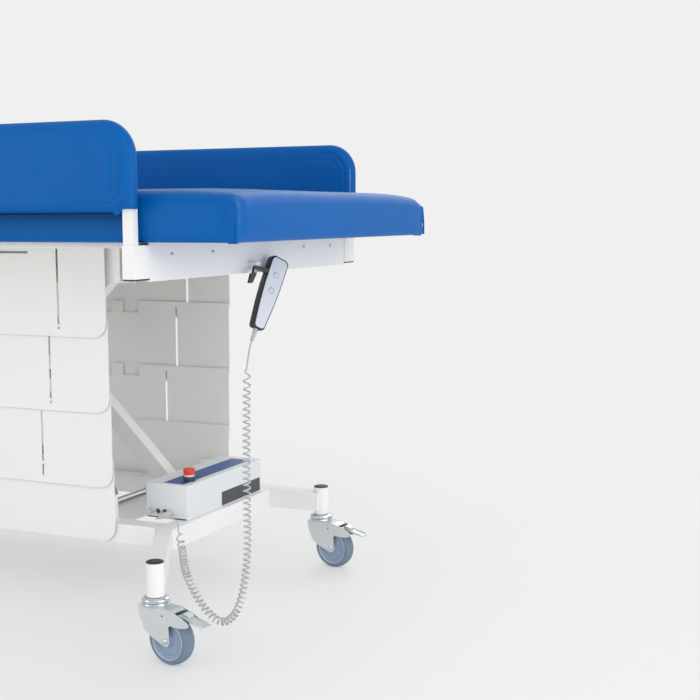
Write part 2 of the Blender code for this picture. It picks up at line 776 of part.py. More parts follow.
def top_frame():
    """Make the two roller channels, the upper pivot bracket, the board and the end plates."""
    half = END_X - END_PLATE - GAP
    for side, sign in SIDES:
        outer, inner = CHANNEL_OUTER, CHANNEL_OUTER - CHANNEL_DEPTH
        web = outer - CHANNEL_WALL
        roof, floor = CHANNEL_TOP - CHANNEL_WALL, CHANNEL_LOW + CHANNEL_WALL
        section = [
            (inner, CHANNEL_LOW), (outer, CHANNEL_LOW), (outer, CHANNEL_TOP), (inner, CHANNEL_TOP),
            (inner, roof), (web, roof), (web, floor), (inner, floor),
        ]
        outline = [(UNIT_Y + sign * u, v) for u, v in section]
        put("roller_channel_" + side, prism(outline, "X", -CHANNEL_LEFT, CHANNEL_RIGHT), "white_powder_coat")
    upper_bracket()
    board = box((-half, -BOARD_HALF_Y, BOARD_LOW), (half, BOARD_HALF_Y, BOARD_TOP))
    put("base_board", board, "board")
    for end, sign in ENDS:
        plate = united(end_plate(), *sleeves())
        if end == "right":
            plate = united(plate, hanger_block())
        else:
            plate = placed(plate, Matrix.Scale(-1.0, 4, (1.0, 0.0, 0.0)))
        put("end_plate_" + end, plate, "white_powder_coat")


def upper_bracket():
    """Make the bar across the channels and the slotted plates of the upper pivot."""
    reach = CHANNEL_OUTER - CHANNEL_DEPTH - GAP
    near_x = PIVOT_X + ARM_DEPTH / 2 + BRACKET_GAP
    top = CHANNEL_TOP
    beam = box((near_x, UNIT_Y - reach, top - BRACKET_BAR), (near_x + BRACKET_BAR, UNIT_Y + reach, top))
    slot = obround((PIVOT_X, HIGH_Z - LIFT_SLACK), (PIVOT_X, HIGH_Z + LIFT_SLACK), TOP_PIN_R + GAP)
    outline = rectangle(PIVOT_X - ARM_DEPTH / 2, BRACKET_LOW, near_x + BRACKET_BAR, top)
    plates = []
    for _, sign in SIDES:
        inner = ARM_B_Y + sign * (ARM_WIDTH / 2 + BRACKET_GAP)
        edges = sorted((inner, inner + sign * BRACKET_PLATE))
        plates.append(prism(outline, "Y", *edges, [slot]))
    put("upper_pivot_bracket", united(beam, *plates), "white_powder_coat")


def end_plate():
    """Return the cross plate of the right end."""
    return box((END_X - END_PLATE, -END_HALF_Y, END_LOW), (END_X, END_HALF_Y, BOARD_TOP))


def sleeves():
    """Return the two sleeves that take the rail posts at the right end."""
    made = []
    for _, sign in SIDES:
        edges = sorted((sign * SLEEVE_INNER_Y, sign * SLEEVE_OUTER_Y))
        outline = rectangle(SLEEVE_LOW_X, edges[0], SLEEVE_HIGH_X, edges[1])
        half_x, half_y = RAIL_POST_WIDE / 2 + GAP, RAIL_POST_DEEP / 2 + GAP
        middle = sign * RAIL_POST_Y
        hole = rectangle(RAIL_POST_X - half_x, middle - half_y, RAIL_POST_X + half_x, middle + half_y)
        made.append(prism(outline, "Z", SLEEVE_LOW, SLEEVE_TOP, [hole]))
    return made


def hanger_block():
    """Return the block on the end plate that the handset's hook hangs on."""
    low = (END_X - END_PLATE / 2, HANGER_Y - HANGER_WIDTH / 2, HANGER_LOW)
    high = (END_X + HANGER_REACH, HANGER_Y + HANGER_WIDTH / 2, HANGER_LOW + HANGER_TALL)
    return box(low, high)


def mattress():
    """Make the crowned mattress, its sides drawn in between the corners."""
    columns, rows = MATTRESS_ALONG, MATTRESS_ACROSS

    def plan(u, v, inset):
        x = u * (MATTRESS_HALF_X - inset - MATTRESS_DRAW * (1.0 - v * v))
        y = v * (MATTRESS_HALF_Y - inset - MATTRESS_DRAW * (1.0 - u * u))
        return x, y

    def edge_ring(inset, height):
        steps = [(-1.0 + 2.0 * i / columns, -1.0) for i in range(columns)]
        steps += [(1.0, -1.0 + 2.0 * j / rows) for j in range(rows)]
        steps += [(1.0 - 2.0 * i / columns, 1.0) for i in range(columns)]
        steps += [(-1.0, 1.0 - 2.0 * j / rows) for j in range(rows)]
        return [(*plan(u, v, inset), height) for u, v in steps]

    shape = bmesh.new()
    middle = (MATTRESS_LOW + MATTRESS_EDGE) / 2
    shoulder = MATTRESS_EDGE - MATTRESS_ROLL
    rings = [(MATTRESS_ROLL / 2, MATTRESS_LOW), (0.0, middle), (0.0, shoulder)]
    loops = [[shape.verts.new(point) for point in edge_ring(*ring)] for ring in rings]
    for lower, upper in zip(loops, loops[1:]):
        for index in range(len(lower)):
            shape.faces.new((lower[index - 1], lower[index], upper[index], upper[index - 1]))
    shape.faces.new(loops[0])
    grid = []
    for j in range(rows + 1):
        v = -1.0 + 2.0 * j / rows
        row = []
        for i in range(columns + 1):
            u = -1.0 + 2.0 * i / columns
            swell = (1.0 - u ** CROWN_POWER_X) * (1.0 - v ** CROWN_POWER_Y)
            height = MATTRESS_EDGE + (MATTRESS_CROWN - MATTRESS_EDGE) * swell ** CROWN_EASE
            row.append(shape.verts.new((*plan(u, v, MATTRESS_ROLL / 2), height)))
        grid.append(row)
    for j in range(rows):
        for i in range(columns):
            shape.faces.new((grid[j][i], grid[j][i + 1], grid[j + 1][i + 1], grid[j + 1][i]))
    rim = [grid[0][i] for i in range(columns)] + [grid[j][columns] for j in range(rows)]
    rim += [grid[rows][columns - i] for i in range(columns)] + [grid[rows - j][0] for j in range(rows)]
    for index in range(len(rim)):
        shape.faces.new((loops[-1][index - 1], loops[-1][index], rim[index], rim[index - 1]))
    put("mattress", shape, "blue_vinyl", (0.0, 0.0, MATTRESS_LOW))


def side_rails():
    """Make the two padded rails and the posts that drop into the sleeves."""
    for side, sign in SIDES:
        put("rail_pad_" + side, rail_pad(sign), "blue_vinyl", (0.0, sign * PAD_MIDDLE_Y, PAD_LOW))
        for end, end_sign in ENDS:
            put("rail_post_" + side + "_" + end, rail_post(end_sign, sign, 0.0), "white_powder_coat")


def rail_post(end_sign, sign, fit):
    """Return a rail's post, larger by the fit for its pocket."""
    x, y = end_sign * RAIL_POST_X, sign * RAIL_POST_Y
    half_x, half_y = RAIL_POST_WIDE / 2 + fit, RAIL_POST_DEEP / 2 + fit
    low = (x - half_x, y - half_y, RAIL_POST_LOW)
    return box(low, (x + half_x, y + half_y, RAIL_POST_TOP + fit))


def rail_pad(sign):
    """Return a rail's pad, fuller in the middle than along its edge."""
    half, edge = PAD_THICK / 2, PAD_EDGE_THICK / 2
    levels = [(0.0, edge), (PAD_ROLL_INSET, (half + edge) / 2), (PAD_FACE_INSET, half)]
    rings = []
    for inset, depth in [(inset, -depth) for inset, depth in reversed(levels)] + levels:
        outline = rounded(
            -PAD_HALF_X + inset, PAD_LOW + inset / 2, PAD_HALF_X - inset, PAD_TOP - inset,
            PAD_LOW_CORNER, PAD_CORNER - inset / 2, 8,
        )
        rings.append([(x, sign * PAD_MIDDLE_Y + depth, z) for x, z in outline])
    return cut(lofted(rings), *(rail_post(end_sign, sign, GAP) for _, end_sign in ENDS))


def casters():
    """Make four braked swivel casters."""
    for end, x_sign in ENDS:
        for side, y_sign in SIDES:
            swivel = bpy.data.objects.new("swivel_" + side + "_" + end, None)
            swivel.location = (x_sign * CASTER_X, y_sign * CASTER_Y, 0.0)
            swivel.rotation_euler = (0.0, 0.0, CASTER_YAW)
            bpy.context.scene.collection.objects.link(swivel)
            label = "_" + side + "_" + end
            axle = (CASTER_TRAIL, 0.0, WHEEL_R)
            put("fork" + label, caster_fork(), "zinc", parent=swivel)
            put("wheel" + label, caster_wheel(), "grey_tyre", axle, swivel)
            put("pedal" + label, brake_pedal(), "zinc", (PEDAL_X, 0.0, PEDAL_Z), swivel)


def caster_fork():
    """Return the fork with its swivel ring and axle."""
    outer = FORK_INSIDE + FORK_PLATE
    front = PEDAL_X - FORK_FRONT
    outline = [(-SWIVEL_R, FORK_TOP), (-SWIVEL_R, FORK_TOP - FORK_REAR)]
    outline += arc(CASTER_TRAIL, WHEEL_R, FORK_AXLE_BOSS, 200, 340, 6)
    outline += arc(PEDAL_X, PEDAL_Z, FORK_PIN_BOSS, -60, 60, 4)
    outline += [(front, FORK_TOP)]
    plates = []
    for _, sign in SIDES:
        edges = sorted((sign * FORK_INSIDE, sign * outer))
        plates.append(prism(outline, "Y", *edges, [bore(PEDAL_X, PEDAL_Z, PEDAL_PIN_R)]))
    bridge = box((-SWIVEL_R, -outer, FORK_TOP - FORK_CROWN), (front, outer, FORK_TOP))
    ring = bar("Z", 0.0, 0.0, SWIVEL_R, FORK_TOP - SWIVEL_SINK, POST_LOW - GAP, BIG_ROUND_SIDES)
    axle = bar("Y", CASTER_TRAIL, WHEEL_R, AXLE_R, -outer, outer)
    return united(bridge, *plates, ring, axle)


def caster_wheel():
    """Return a wheel with round shoulders and a dished hub, turned about its axle."""
    half = WHEEL_WIDE / 2
    hole = (AXLE_R + GAP) / math.cos(math.pi / WHEEL_SIDES)
    dish = half - HUB_DISH
    flank = WHEEL_R - WHEEL_SHOULDER
    profile = [(hole, -half), (HUB_BOSS_R, -half), (HUB_BOSS_FOOT_R, -dish), (HUB_R, -dish)]
    profile += [(flank, -half), (WHEEL_R, -half + WHEEL_SHOULDER)]
    profile += [(radius, -height) for radius, height in reversed(profile)]
    wheel = turned(profile, WHEEL_SIDES)
    turn = Matrix.Translation((CASTER_TRAIL, 0.0, WHEEL_R)) @ Matrix.Rotation(math.pi / 2, 4, "X")
    return placed(wheel, turn)


def brake_pedal():
    """Return the brake pedal with its hinge pin."""
    outer = FORK_INSIDE + FORK_PLATE
    tip = (PEDAL_REACH, PEDAL_Z - PEDAL_DROP)
    plate = prism(obround((PEDAL_X, PEDAL_Z), tip, PEDAL_THICK / 2, 4), "Y", -PEDAL_HALF, PEDAL_HALF)
    pin = bar("Y", PEDAL_X, PEDAL_Z, PEDAL_PIN_R, -outer, outer, 12)
    return united(plate, pin)


def control_box():
    """Make the control box with the emergency stop on its top."""
    outline = rounded(BOX_LOW_X, BOX_LOW, BOX_HIGH_X, BOX_TOP, BOX_CORNER / 2, BOX_CORNER, 3)
    case = prism(outline, "Y", BOX_NEAR_Y, BOX_FAR_Y)
    collar_top = BOX_TOP + STOP_COLLAR
    collar = bar("Z", STOP_X, STOP_Y, STOP_R, BOX_TOP - BOX_CORNER, collar_top, BIG_ROUND_SIDES)
    stem_hole = STOP_STEM_R + STOP_STEM_FIT
    well = bar("Z", STOP_X, STOP_Y, stem_hole, BOX_TOP - STOP_DEPTH, collar_top + STOP_HEAD, BIG_ROUND_SIDES)
    put("control_box", cut(united(case, collar), well), "grey_plastic")
    head_low = collar_top + STOP_TRAVEL + GAP
    stem_low = BOX_TOP - STOP_DEPTH + STOP_TRAVEL + GAP
    head_top = head_low + STOP_HEAD - STOP_TRAVEL
    profile = [(0.0, stem_low), (STOP_STEM_R, stem_low), (STOP_STEM_R, head_low), (STOP_WAIST_R, head_low)]
    profile += [(STOP_R, head_top - STOP_EDGE), (STOP_FACE_R, head_top), (0.0, head_top)]
    button = placed(turned(profile, BIG_ROUND_SIDES), Matrix.Translation((STOP_X, STOP_Y, 0.0)))
    put("e_stop_button", button, "red_plastic", (STOP_X, STOP_Y, collar_top))


def handset_frame():
    """Return the handset's matrix: X across, Y along its length upwards, Z out of its face."""
    along = (HANDSET_TOP - HANDSET_LOW).normalized()
    facing = Vector((math.cos(HANDSET_YAW), math.sin(HANDSET_YAW), 0.0))
    face = (facing - along * facing.dot(along)).normalized()
    across = along.cross(face)
    turn = Matrix((across, along, face)).transposed().to_4x4()
    return Matrix.Translation(HANDSET_TOP) @ turn


def handset_outline(inset):
    """Return the handset's tapered outline, measured down from its top."""
    top_half, low_half = HANDSET_TOP_WIDE / 2 - inset, HANDSET_LOW_WIDE / 2 - inset
    points = arc(0.0, -top_half - inset, top_half, 0, 180, 10)
    points += arc(0.0, -HANDSET_LENGTH + low_half + inset, low_half, 180, 360, 10)
    return points


def relief_end():
    """Return where the cord leaves the handset's strain relief, and the direction it leaves in."""
    frame = handset_frame()
    tip = frame @ Vector((0.0, -HANDSET_LENGTH - RELIEF_LENGTH, 0.0))
    return tip, (frame.to_3x3() @ Vector((0.0, -1.0, 0.0))).normalized()


def handset():
    """Make the handset with its hook and strain relief, and its two keys."""
    frame = handset_frame()
    half = HANDSET_THICK / 2
    side = half - HANDSET_EDGE
    rings = []
    for inset, depth in ((HANDSET_EDGE, -half), (0.0, -side), (0.0, side), (HANDSET_EDGE, half)):
        rings.append([(u, v, depth) for u, v in handset_outline(inset)])
    case = placed(lofted(rings), frame)
    root = RELIEF_LENGTH + RELIEF_ROOT
    profile = [(0.0, 0.0), (RELIEF_R, 0.0), (RELIEF_ROOT_R, RELIEF_LENGTH), (RELIEF_ROOT_R, root), (0.0, root)]
    low_end = Matrix.Translation((0.0, -HANDSET_LENGTH - RELIEF_LENGTH, 0.0))
    relief = placed(turned(profile), frame @ low_end @ Matrix.Rotation(-math.pi / 2, 4, "X"))
    case = united(case, relief, *handset_hook())
    pockets = []
    for number in range(2):
        middle = Matrix.Translation((0.0, -KEY_FIRST - number * KEY_STEP, 0.0))
        pocket = KEY_R + KEY_FIT
        floor = half - KEY_DEEP
        shape = turned([(0.0, floor), (pocket, floor), (pocket, half + KEY_DEEP), (0.0, half + KEY_DEEP)])
        pockets.append(placed(shape, frame @ middle))
        low_end = floor + KEY_PROUD
        top = half + KEY_PROUD
        profile = [(0.0, low_end), (KEY_R, low_end), (KEY_R, half), (KEY_FACE_R, top), (0.0, top)]
        key = placed(turned(profile), frame @ middle)
        name = ("key_up", "key_down")[number]
        put(name, key, "pale_plastic", (frame @ middle).translation)
    put("handset", cut(case, *pockets), "dark_plastic", HANDSET_TOP)


def handset_hook():
    """Return the hook over the hanger block and the strap that joins it to the handset."""
    front = END_X + HANGER_REACH + GAP
    face = front + HOOK_THICK
    rear = END_X + GAP
    low = HANGER_LOW + HANGER_TALL + GAP
    top = low + HOOK_THICK
    near, far = HANGER_Y - HANGER_WIDTH / 2, HANGER_Y + HANGER_WIDTH / 2
    outline = [(rear, low), (front, low), (front, HOOK_TIP), (face, HOOK_TIP), (face, top), (rear, top)]
    hook = prism(outline, "Y", near, far)
    strap_low = (front + STRAP_INSET, HANGER_Y, HANGER_LOW - HANGER_TALL)
    strap = box(strap_low, (face - STRAP_INSET, HANDSET_TOP.y / 2, HANGER_LOW))
    return hook, strap


def smooth_route(points, samples):
    """Return evenly spread points on a smooth curve through the route's points."""
    ends = [2 * points[0] - points[1], *points, 2 * points[-1] - points[-2]]
    dense = []
    steps = max(2, samples // (len(points) - 1))
    for a, b, c, d in zip(ends, ends[1:], ends[2:], ends[3:]):
        for step in range(steps):
            t = step / steps
            dense.append(0.5 * (2 * b + (c - a) * t + (2 * a - 5 * b + 4 * c - d) * t * t
                                + (3 * b - a - 3 * c + d) * t ** 3))
    dense.append(points[-1].copy())
    return dense


def curl_pitch(share):
    """Return the distance between curls at a share of the coil's length."""
    place = share * (len(CURL_PITCHES) - 1)
    index = min(int(place), len(CURL_PITCHES) - 2)
    part = place - index
    return CURL_PITCHES[index] * (1.0 - part) + CURL_PITCHES[index + 1] * part


def curled(line):
    """Return the wire's points on a helix around a line, with its radius growing in at both ends."""
    lengths = [0.0]
    for a, b in zip(line, line[1:]):
        lengths.append(lengths[-1] + (b - a).length)
    turns = [0.0]
    for index in range(1, len(line)):
        step = lengths[index] - lengths[index - 1]
        turns.append(turns[-1] + step / curl_pitch(lengths[index] / lengths[-1]))
    scale = CURLS / turns[-1]
    side = Vector((1.0, 0.0, 0.0))
    points = []
    wanted = 0
    for index, point in enumerate(line):
        ahead = line[min(index + 1, len(line) - 1)] - line[max(index - 1, 0)]
        ahead.normalize()
        side = (side - ahead * side.dot(ahead)).normalized()
        turn = turns[index] * scale
        if turn * CURL_POINTS < wanted:
            continue
        wanted += 1
        ease = min(1.0, turn, CURLS - turn)
        angle = turn * 2 * math.pi
        offset = side * math.cos(angle) + ahead.cross(side) * math.sin(angle)
        points.append(point + offset * CURL_R * max(0.0, ease))
    return points


def cord_points():
    """Return all points of the cord's wire from the handset to the plug."""
    start, leaving = relief_end()
    plug_rear = Vector((PLUG_X, BOX_NEAR_Y - 2 * GAP - PLUG_LENGTH, PLUG_Z))
    lead = smooth_route([start + leaving * 2 * RELIEF_R, *CORD_LEAD, CORD_COIL[0]], 12)
    coil = curled(smooth_route(CORD_COIL, ROUTE_SAMPLES))
    entry = plug_rear - Vector((0.0, 4 * WIRE_R, 0.0))
    tail = smooth_route([CORD_COIL[-1], *CORD_TAIL, entry], 20)
    return [start + leaving * 2 * GAP] + lead[:-1] + coil[1:-1] + tail + [plug_rear]


def cord_self_gap(points):
    """Return the least gap between the wire and itself, more than one curl's half apart."""
    skip = CURL_POINTS // 2
    least = 1.0
    for index, point in enumerate(points):
        for other in points[index + skip:index + 4 * CURL_POINTS]:
            least = min(least, (other - point).length)
    return least - 2 * WIRE_R


def handset_cord():
    """Make the curly cord from the handset down to the floor and back up to the box, and its plug."""
    points = cord_points()
    gap = cord_self_gap(points)
    print("least gap of the cord to itself, mm:", round(gap * 1000, 2), "over", LEAST_CORD_GAP * 1000)
    curve = bpy.data.curves.new("handset_cord", "CURVE")
    curve.dimensions = "3D"
    curve.bevel_depth = WIRE_R
    curve.bevel_resolution = 1
    curve.use_fill_caps = True
    curve.materials.append(material("cord_plastic"))
    spline = curve.splines.new("POLY")
    spline.points.add(len(points) - 1)
    for slot, point in zip(spline.points, points):
        slot.co = (*point, 1.0)
    item = bpy.data.objects.new("handset_cord", curve)
    bpy.context.scene.collection.objects.link(item)
    profile = [(0.0, 0.0), (PLUG_TAIL_R, 0.0), (PLUG_R, PLUG_TAPER), (PLUG_R, PLUG_LENGTH), (0.0, PLUG_LENGTH)]
    rear = Matrix.Translation((PLUG_X, BOX_NEAR_Y - GAP - PLUG_LENGTH, PLUG_Z))
    plug = placed(turned(profile, BIG_ROUND_SIDES), rear @ Matrix.Rotation(-math.pi / 2, 4, "X"))
    put("cord_plug", plug, "cord_plastic")


def main():
    """Build the whole table."""
    for item in list(bpy.data.objects):
        bpy.data.objects.remove(item, do_unlink=True)
    base_beams()
    lift_arms()
    actuator()
    guard_panels()
    top_frame()
    mattress()
    side_rails()
    casters()
    control_box()
    handset()
    handset_cord()


main()
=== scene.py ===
"""Looks of a mobile changing table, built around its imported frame.

Metres, +Z up, in the frame of the part: the origin is on the floor under the middle of the mattress,
+X points to the end with the control box and the handset, and -Y is the near side.
"""

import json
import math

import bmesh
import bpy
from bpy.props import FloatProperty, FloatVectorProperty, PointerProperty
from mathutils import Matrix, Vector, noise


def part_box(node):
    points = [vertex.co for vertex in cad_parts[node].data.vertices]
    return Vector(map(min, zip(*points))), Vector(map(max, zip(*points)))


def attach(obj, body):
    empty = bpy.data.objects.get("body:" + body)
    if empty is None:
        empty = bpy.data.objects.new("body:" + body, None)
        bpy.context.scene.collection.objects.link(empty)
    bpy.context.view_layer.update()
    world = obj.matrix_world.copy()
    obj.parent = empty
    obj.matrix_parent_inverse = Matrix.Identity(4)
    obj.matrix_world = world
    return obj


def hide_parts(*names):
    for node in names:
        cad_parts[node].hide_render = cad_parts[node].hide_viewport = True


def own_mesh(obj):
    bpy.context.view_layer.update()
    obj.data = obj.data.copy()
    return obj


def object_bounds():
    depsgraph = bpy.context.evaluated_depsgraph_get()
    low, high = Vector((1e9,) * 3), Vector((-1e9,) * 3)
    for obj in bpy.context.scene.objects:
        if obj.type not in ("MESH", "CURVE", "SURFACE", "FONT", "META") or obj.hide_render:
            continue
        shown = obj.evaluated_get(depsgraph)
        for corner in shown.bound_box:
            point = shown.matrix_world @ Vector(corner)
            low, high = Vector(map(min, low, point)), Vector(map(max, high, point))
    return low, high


bl_info = {
    "name": "Changing Table Looks",
    "version": (1, 0, 0),
    "blender": (4, 5, 0),
    "location": "View3D > Sidebar > Changing Table",
    "description": "Upholstery, finishes, casters, controls and stage of a mobile changing table",
    "category": "Object",
}

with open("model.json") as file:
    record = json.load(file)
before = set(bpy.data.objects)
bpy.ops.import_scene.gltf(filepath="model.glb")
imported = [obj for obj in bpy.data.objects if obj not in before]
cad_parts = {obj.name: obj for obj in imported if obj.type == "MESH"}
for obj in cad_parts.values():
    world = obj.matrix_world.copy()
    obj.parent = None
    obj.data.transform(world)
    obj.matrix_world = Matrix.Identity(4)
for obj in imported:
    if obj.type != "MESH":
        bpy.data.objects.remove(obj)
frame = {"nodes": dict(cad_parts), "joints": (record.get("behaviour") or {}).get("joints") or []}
CAD_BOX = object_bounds()

MM = 0.001
SIDES = (("near", -1), ("far", 1))
ENDS = (("right", 1), ("left", -1))
CORNERS = [(side, end) for end, _ in ENDS for side, _ in SIDES]
STAND_UP = Matrix.Rotation(math.pi / 2, 4, "X")
FACE_RIGHT = Matrix(((0, 0, 1, 0), (1, 0, 0, 0), (0, 1, 0, 0), (0, 0, 0, 1)))
SMOOTH_ANGLE = math.radians(38)

# The handset's place, as in the part's source
HANDSET_TOP = Vector((0.760, 0.033, 0.851))
HANDSET_LOW = Vector((0.741, -0.051, 0.690))
HANDSET_YAW = math.radians(-32)
HANDSET_LENGTH = 0.183
HANDSET_THICK = 0.025
RELIEF_LENGTH = 0.030
RELIEF_R = 0.0045
KEY_PLACES = (-0.045, -0.085)
KEY_R = 0.0075

# The curly cord's route, as in the part's source
WIRE_R = 0.002
CURL_R = 0.00775
CURLS = 70
CURL_PITCHES = (
    0.0280, 0.0150, 0.0148, 0.0145, 0.0145, 0.0140, 0.0135, 0.0125,
    0.0115, 0.0110, 0.0110, 0.0110, 0.0110, 0.0115, 0.0125, 0.0280,
)
CORD_LEAD = [
    Vector((0.742, -0.087, 0.637)),
]
CORD_COIL = [
    Vector((0.750, -0.112, 0.609)),
    Vector((0.750, -0.119, 0.414)),
    Vector((0.750, -0.120, 0.296)),
    Vector((0.752, -0.128, 0.155)),
    Vector((0.756, -0.175, 0.060)),
    Vector((0.748, -0.235, 0.039)),
    Vector((0.712, -0.258, 0.077)),
    Vector((0.660, -0.243, 0.140)),
    Vector((0.606, -0.175, 0.175)),
    Vector((0.572, -0.136, 0.215)),
]
CORD_TAIL = [
    Vector((0.558, -0.1215, 0.2275)),
    Vector((0.530, -0.113, 0.2305)),
    Vector((0.500, -0.108, 0.2255)),
    Vector((0.483, -0.096, 0.2205)),
]

# The foam's push on the covers, and how far the side rails' covers hang below their pads
PAD_PRESSURE = 4.0
PAD_HANG = 3 * MM
SWELL_FRAMES = 20

# The end plates' screws and sleeves, and the sheet of the handset's hook
SCREW_FACE_X, SCREW_Z = 0.728, 0.8735
SCREW_YS = (-0.387, -0.220, 0.231, 0.387)
SLEEVE_X = (0.7035, 0.7315)
SLEEVE_Y = 0.474
SLEEVE_LOW = (0.8248, 0.8279)
SLEEVE_TOP = (0.8961, 0.8995)
SLEEVE_TOP_Y = 0.5125
HOOK_X = (0.7503, 0.7553)

# The casters' places, as in the part's source
CASTER_TRAIL = 0.045
CASTER_YAW = math.radians(-10)
WHEEL_R = 0.055
PEDAL_PIN = Vector((0.076, 0.0, 0.111))


def linear(code):
    """Turn an sRGB hex colour into linear red, green and blue."""
    values = []
    for start in (1, 3, 5):
        share = int(code[start:start + 2], 16) / 255
        values.append(share / 12.92 if share <= 0.04045 else ((share + 0.055) / 1.055) ** 2.4)
    return values


def tint(name, code, description):
    """Return a colour setting whose default is an sRGB hex colour."""
    return FloatVectorProperty(
        name=name, description=description, subtype="COLOR", size=3, min=0.0, max=1.0, default=linear(code),
    )


def length(name, default, description):
    """Return a size setting in metres."""
    return FloatProperty(name=name, description=description, default=default, min=0.0, unit="LENGTH", precision=4)


class TableColours(bpy.types.PropertyGroup):
    """Colours of the table's finishes."""

    paint: tint("Powder coat", "#f3f3f1", "White coat of the frame, panels and end plates")
    vinyl: tint("Vinyl", "#0361af", "Coated cloth of the mattress and the side rails")
    # The hem is coloured dark as painted shade under the rail pads' lower edge
    hem: tint("Hem", "#0b1f4a", "Hem under the side rails")
    case: tint("Control case", "#e3e7ea", "Moulded case of the control box")
    label: tint("Label strip", "#1b5397", "Film on top of the control box")
    patch: tint("Grip patch", "#4f5359", "Dark patch on the end of the control box")
    stop_red: tint("Stop head", "#e2402a", "Head of the emergency stop")
    stop_navy: tint("Stop collar", "#182547", "Collar under the emergency stop")
    stop_ring: tint("Stop ring", "#e9e6df", "Ring between collar and head")
    shell: tint("Handset shell", "#26302f", "Moulded shell of the handset")
    keypad: tint("Handset face", "#d8dde6", "Film on the handset's face")
    key_ring: tint("Key ring", "#c9d0da", "Printed rings round the keys")
    jacket: tint("Cord jacket", "#c3c4c5", "Jacket of the curly cord")
    zinc: tint("Zinc plate", "#d8dede", "Plated forks and pedals")
    chrome: tint("Bright ring", "#ccd2d9", "Plated swivel rings")
    steel: tint("Turned steel", "#b9bbbd", "Shafts, rollers and actuator")
    tyre: tint("Tyre", "#73889a", "Rubber of the casters")
    hub: tint("Hub", "#8fa3bd", "Moulded hub of the casters")
    rim: tint("Hub rim", "#c3cede", "Pale rim between hub and tyre")
    cap: tint("Cap", "#2c2b29", "Caps of posts and sleeves")
    laminate: tint("Board", "#f1f0ed", "Laminated board under the mattress")
    floor: tint("Floor", "#f0f0f0", "Studio floor and background")


class TableSizes(bpy.types.PropertyGroup):
    """Sizes of the details that the frame leaves to the looks."""

    tube_edge: length("Tube edge", 0.0030, "Round edge of the square tubes")
    sheet_edge: length("Sheet edge", 0.0004, "Broken edge of the guard sheets")
    mattress_roll: length("Mattress roll", 0.034, "Width of the mattress's rounded upper edge")
    mattress_rise: length("Mattress rise", 0.021, "Height of that edge")
    mattress_bulge: length("Mattress bulge", 0.0035, "Bulge of the mattress's sides")
    mattress_draw: length("Mattress draw", 0.007, "Draw of its sides between the corners")
    pad_roll: length("Pad roll", 0.026, "Width of a rail pad's rounded edge")
    pad_corner: length("Pad corner", 0.075, "Radius of a rail pad's upper corners")
    welt: length("Welt", 0.0024, "Radius of a sewn seam's welt")
    lens: FloatProperty(name="Lens", description="Focal length on a 36 mm sensor", default=64.85, min=10.0)
    camera_place: FloatVectorProperty(
        name="Camera", description="Where the camera stands", subtype="TRANSLATION", unit="LENGTH",
        size=3, default=(2.1613, -2.6423, 0.955),
    )
    camera_turn: FloatVectorProperty(
        name="Camera turn", description="Yaw, downward pitch and roll of the camera", subtype="EULER",
        size=3, default=(math.radians(24.44), math.radians(6.12), math.radians(-0.27)),
    )


def colours():
    """Return the scene's colour settings."""
    return bpy.context.scene.table_colours


def sizes():
    """Return the scene's size settings."""
    return bpy.context.scene.table_sizes


# Materials

def node(tree, kind, inputs=None, **settings):
    """Add a node with its settings. An input given as a socket is linked, and any other is set."""
    made = tree.nodes.new(kind)
    for name, value in settings.items():
        setattr(made, name, value)
    for name, value in (inputs or {}).items():
        if isinstance(value, bpy.types.NodeSocket):
            tree.links.new(value, made.inputs[name])
        else:
            made.inputs[name].default_value = value
    return made


def finish(
        name, colour, shade, cloud, gloss, patch,
        grain=0.0, depth=0.0, cells=0.0, rings=0.0, metallic=0.0, ior=1.5):
    """Build a finish: a colour that clouds towards its shade, an uneven gloss and a fine relief.

    The sizes of cloud, patch, grain, cells and rings and the relief's depth are in metres.
    """
    made = bpy.data.materials.new(name)
    made.use_nodes = True
    tree = made.node_tree
    shader = tree.nodes["Principled BSDF"]
    shader.inputs["Metallic"].default_value = metallic
    shader.inputs["IOR"].default_value = ior
    place = node(tree, "ShaderNodeTexCoord").outputs["Object"]
    clouds = node(tree, "ShaderNodeTexNoise", {"Vector": place, "Scale": 1.0 / cloud, "Detail": 4.0}).outputs["Fac"]
    if rings:
        wave = {"Vector": place, "Scale": math.pi / (10.0 * rings), "Distortion": 0.4}
        clouds = node(tree, "ShaderNodeTexWave", wave, bands_direction="Y").outputs["Fac"]
    tones = {0: clouds, 6: (*(part * shade for part in colour), 1.0), 7: (*colour, 1.0)}
    tree.links.new(node(tree, "ShaderNodeMix", tones, data_type="RGBA").outputs[2], shader.inputs["Base Color"])
    patches = node(tree, "ShaderNodeTexNoise", {"Vector": place, "Scale": 1.0 / patch}).outputs["Fac"]
    spread = node(tree, "ShaderNodeMapRange", {"Value": patches, "To Min": gloss[0], "To Max": gloss[1]})
    tree.links.new(spread.outputs["Result"], shader.inputs["Roughness"])
    if grain:
        height = node(tree, "ShaderNodeTexNoise", {"Vector": place, "Scale": 1.0 / grain}).outputs["Fac"]
        if cells:
            cell = node(tree, "ShaderNodeTexVoronoi", {"Vector": place, "Scale": 1.0 / cells}).outputs["Distance"]
            height = node(tree, "ShaderNodeMath", {0: height, 1: cell}, operation="ADD").outputs["Value"]
        bump = node(tree, "ShaderNodeBump", {"Height": height, "Strength": 0.35, "Distance": depth})
        tree.links.new(bump.outputs["Normal"], shader.inputs["Normal"])
    return made


_made = {}


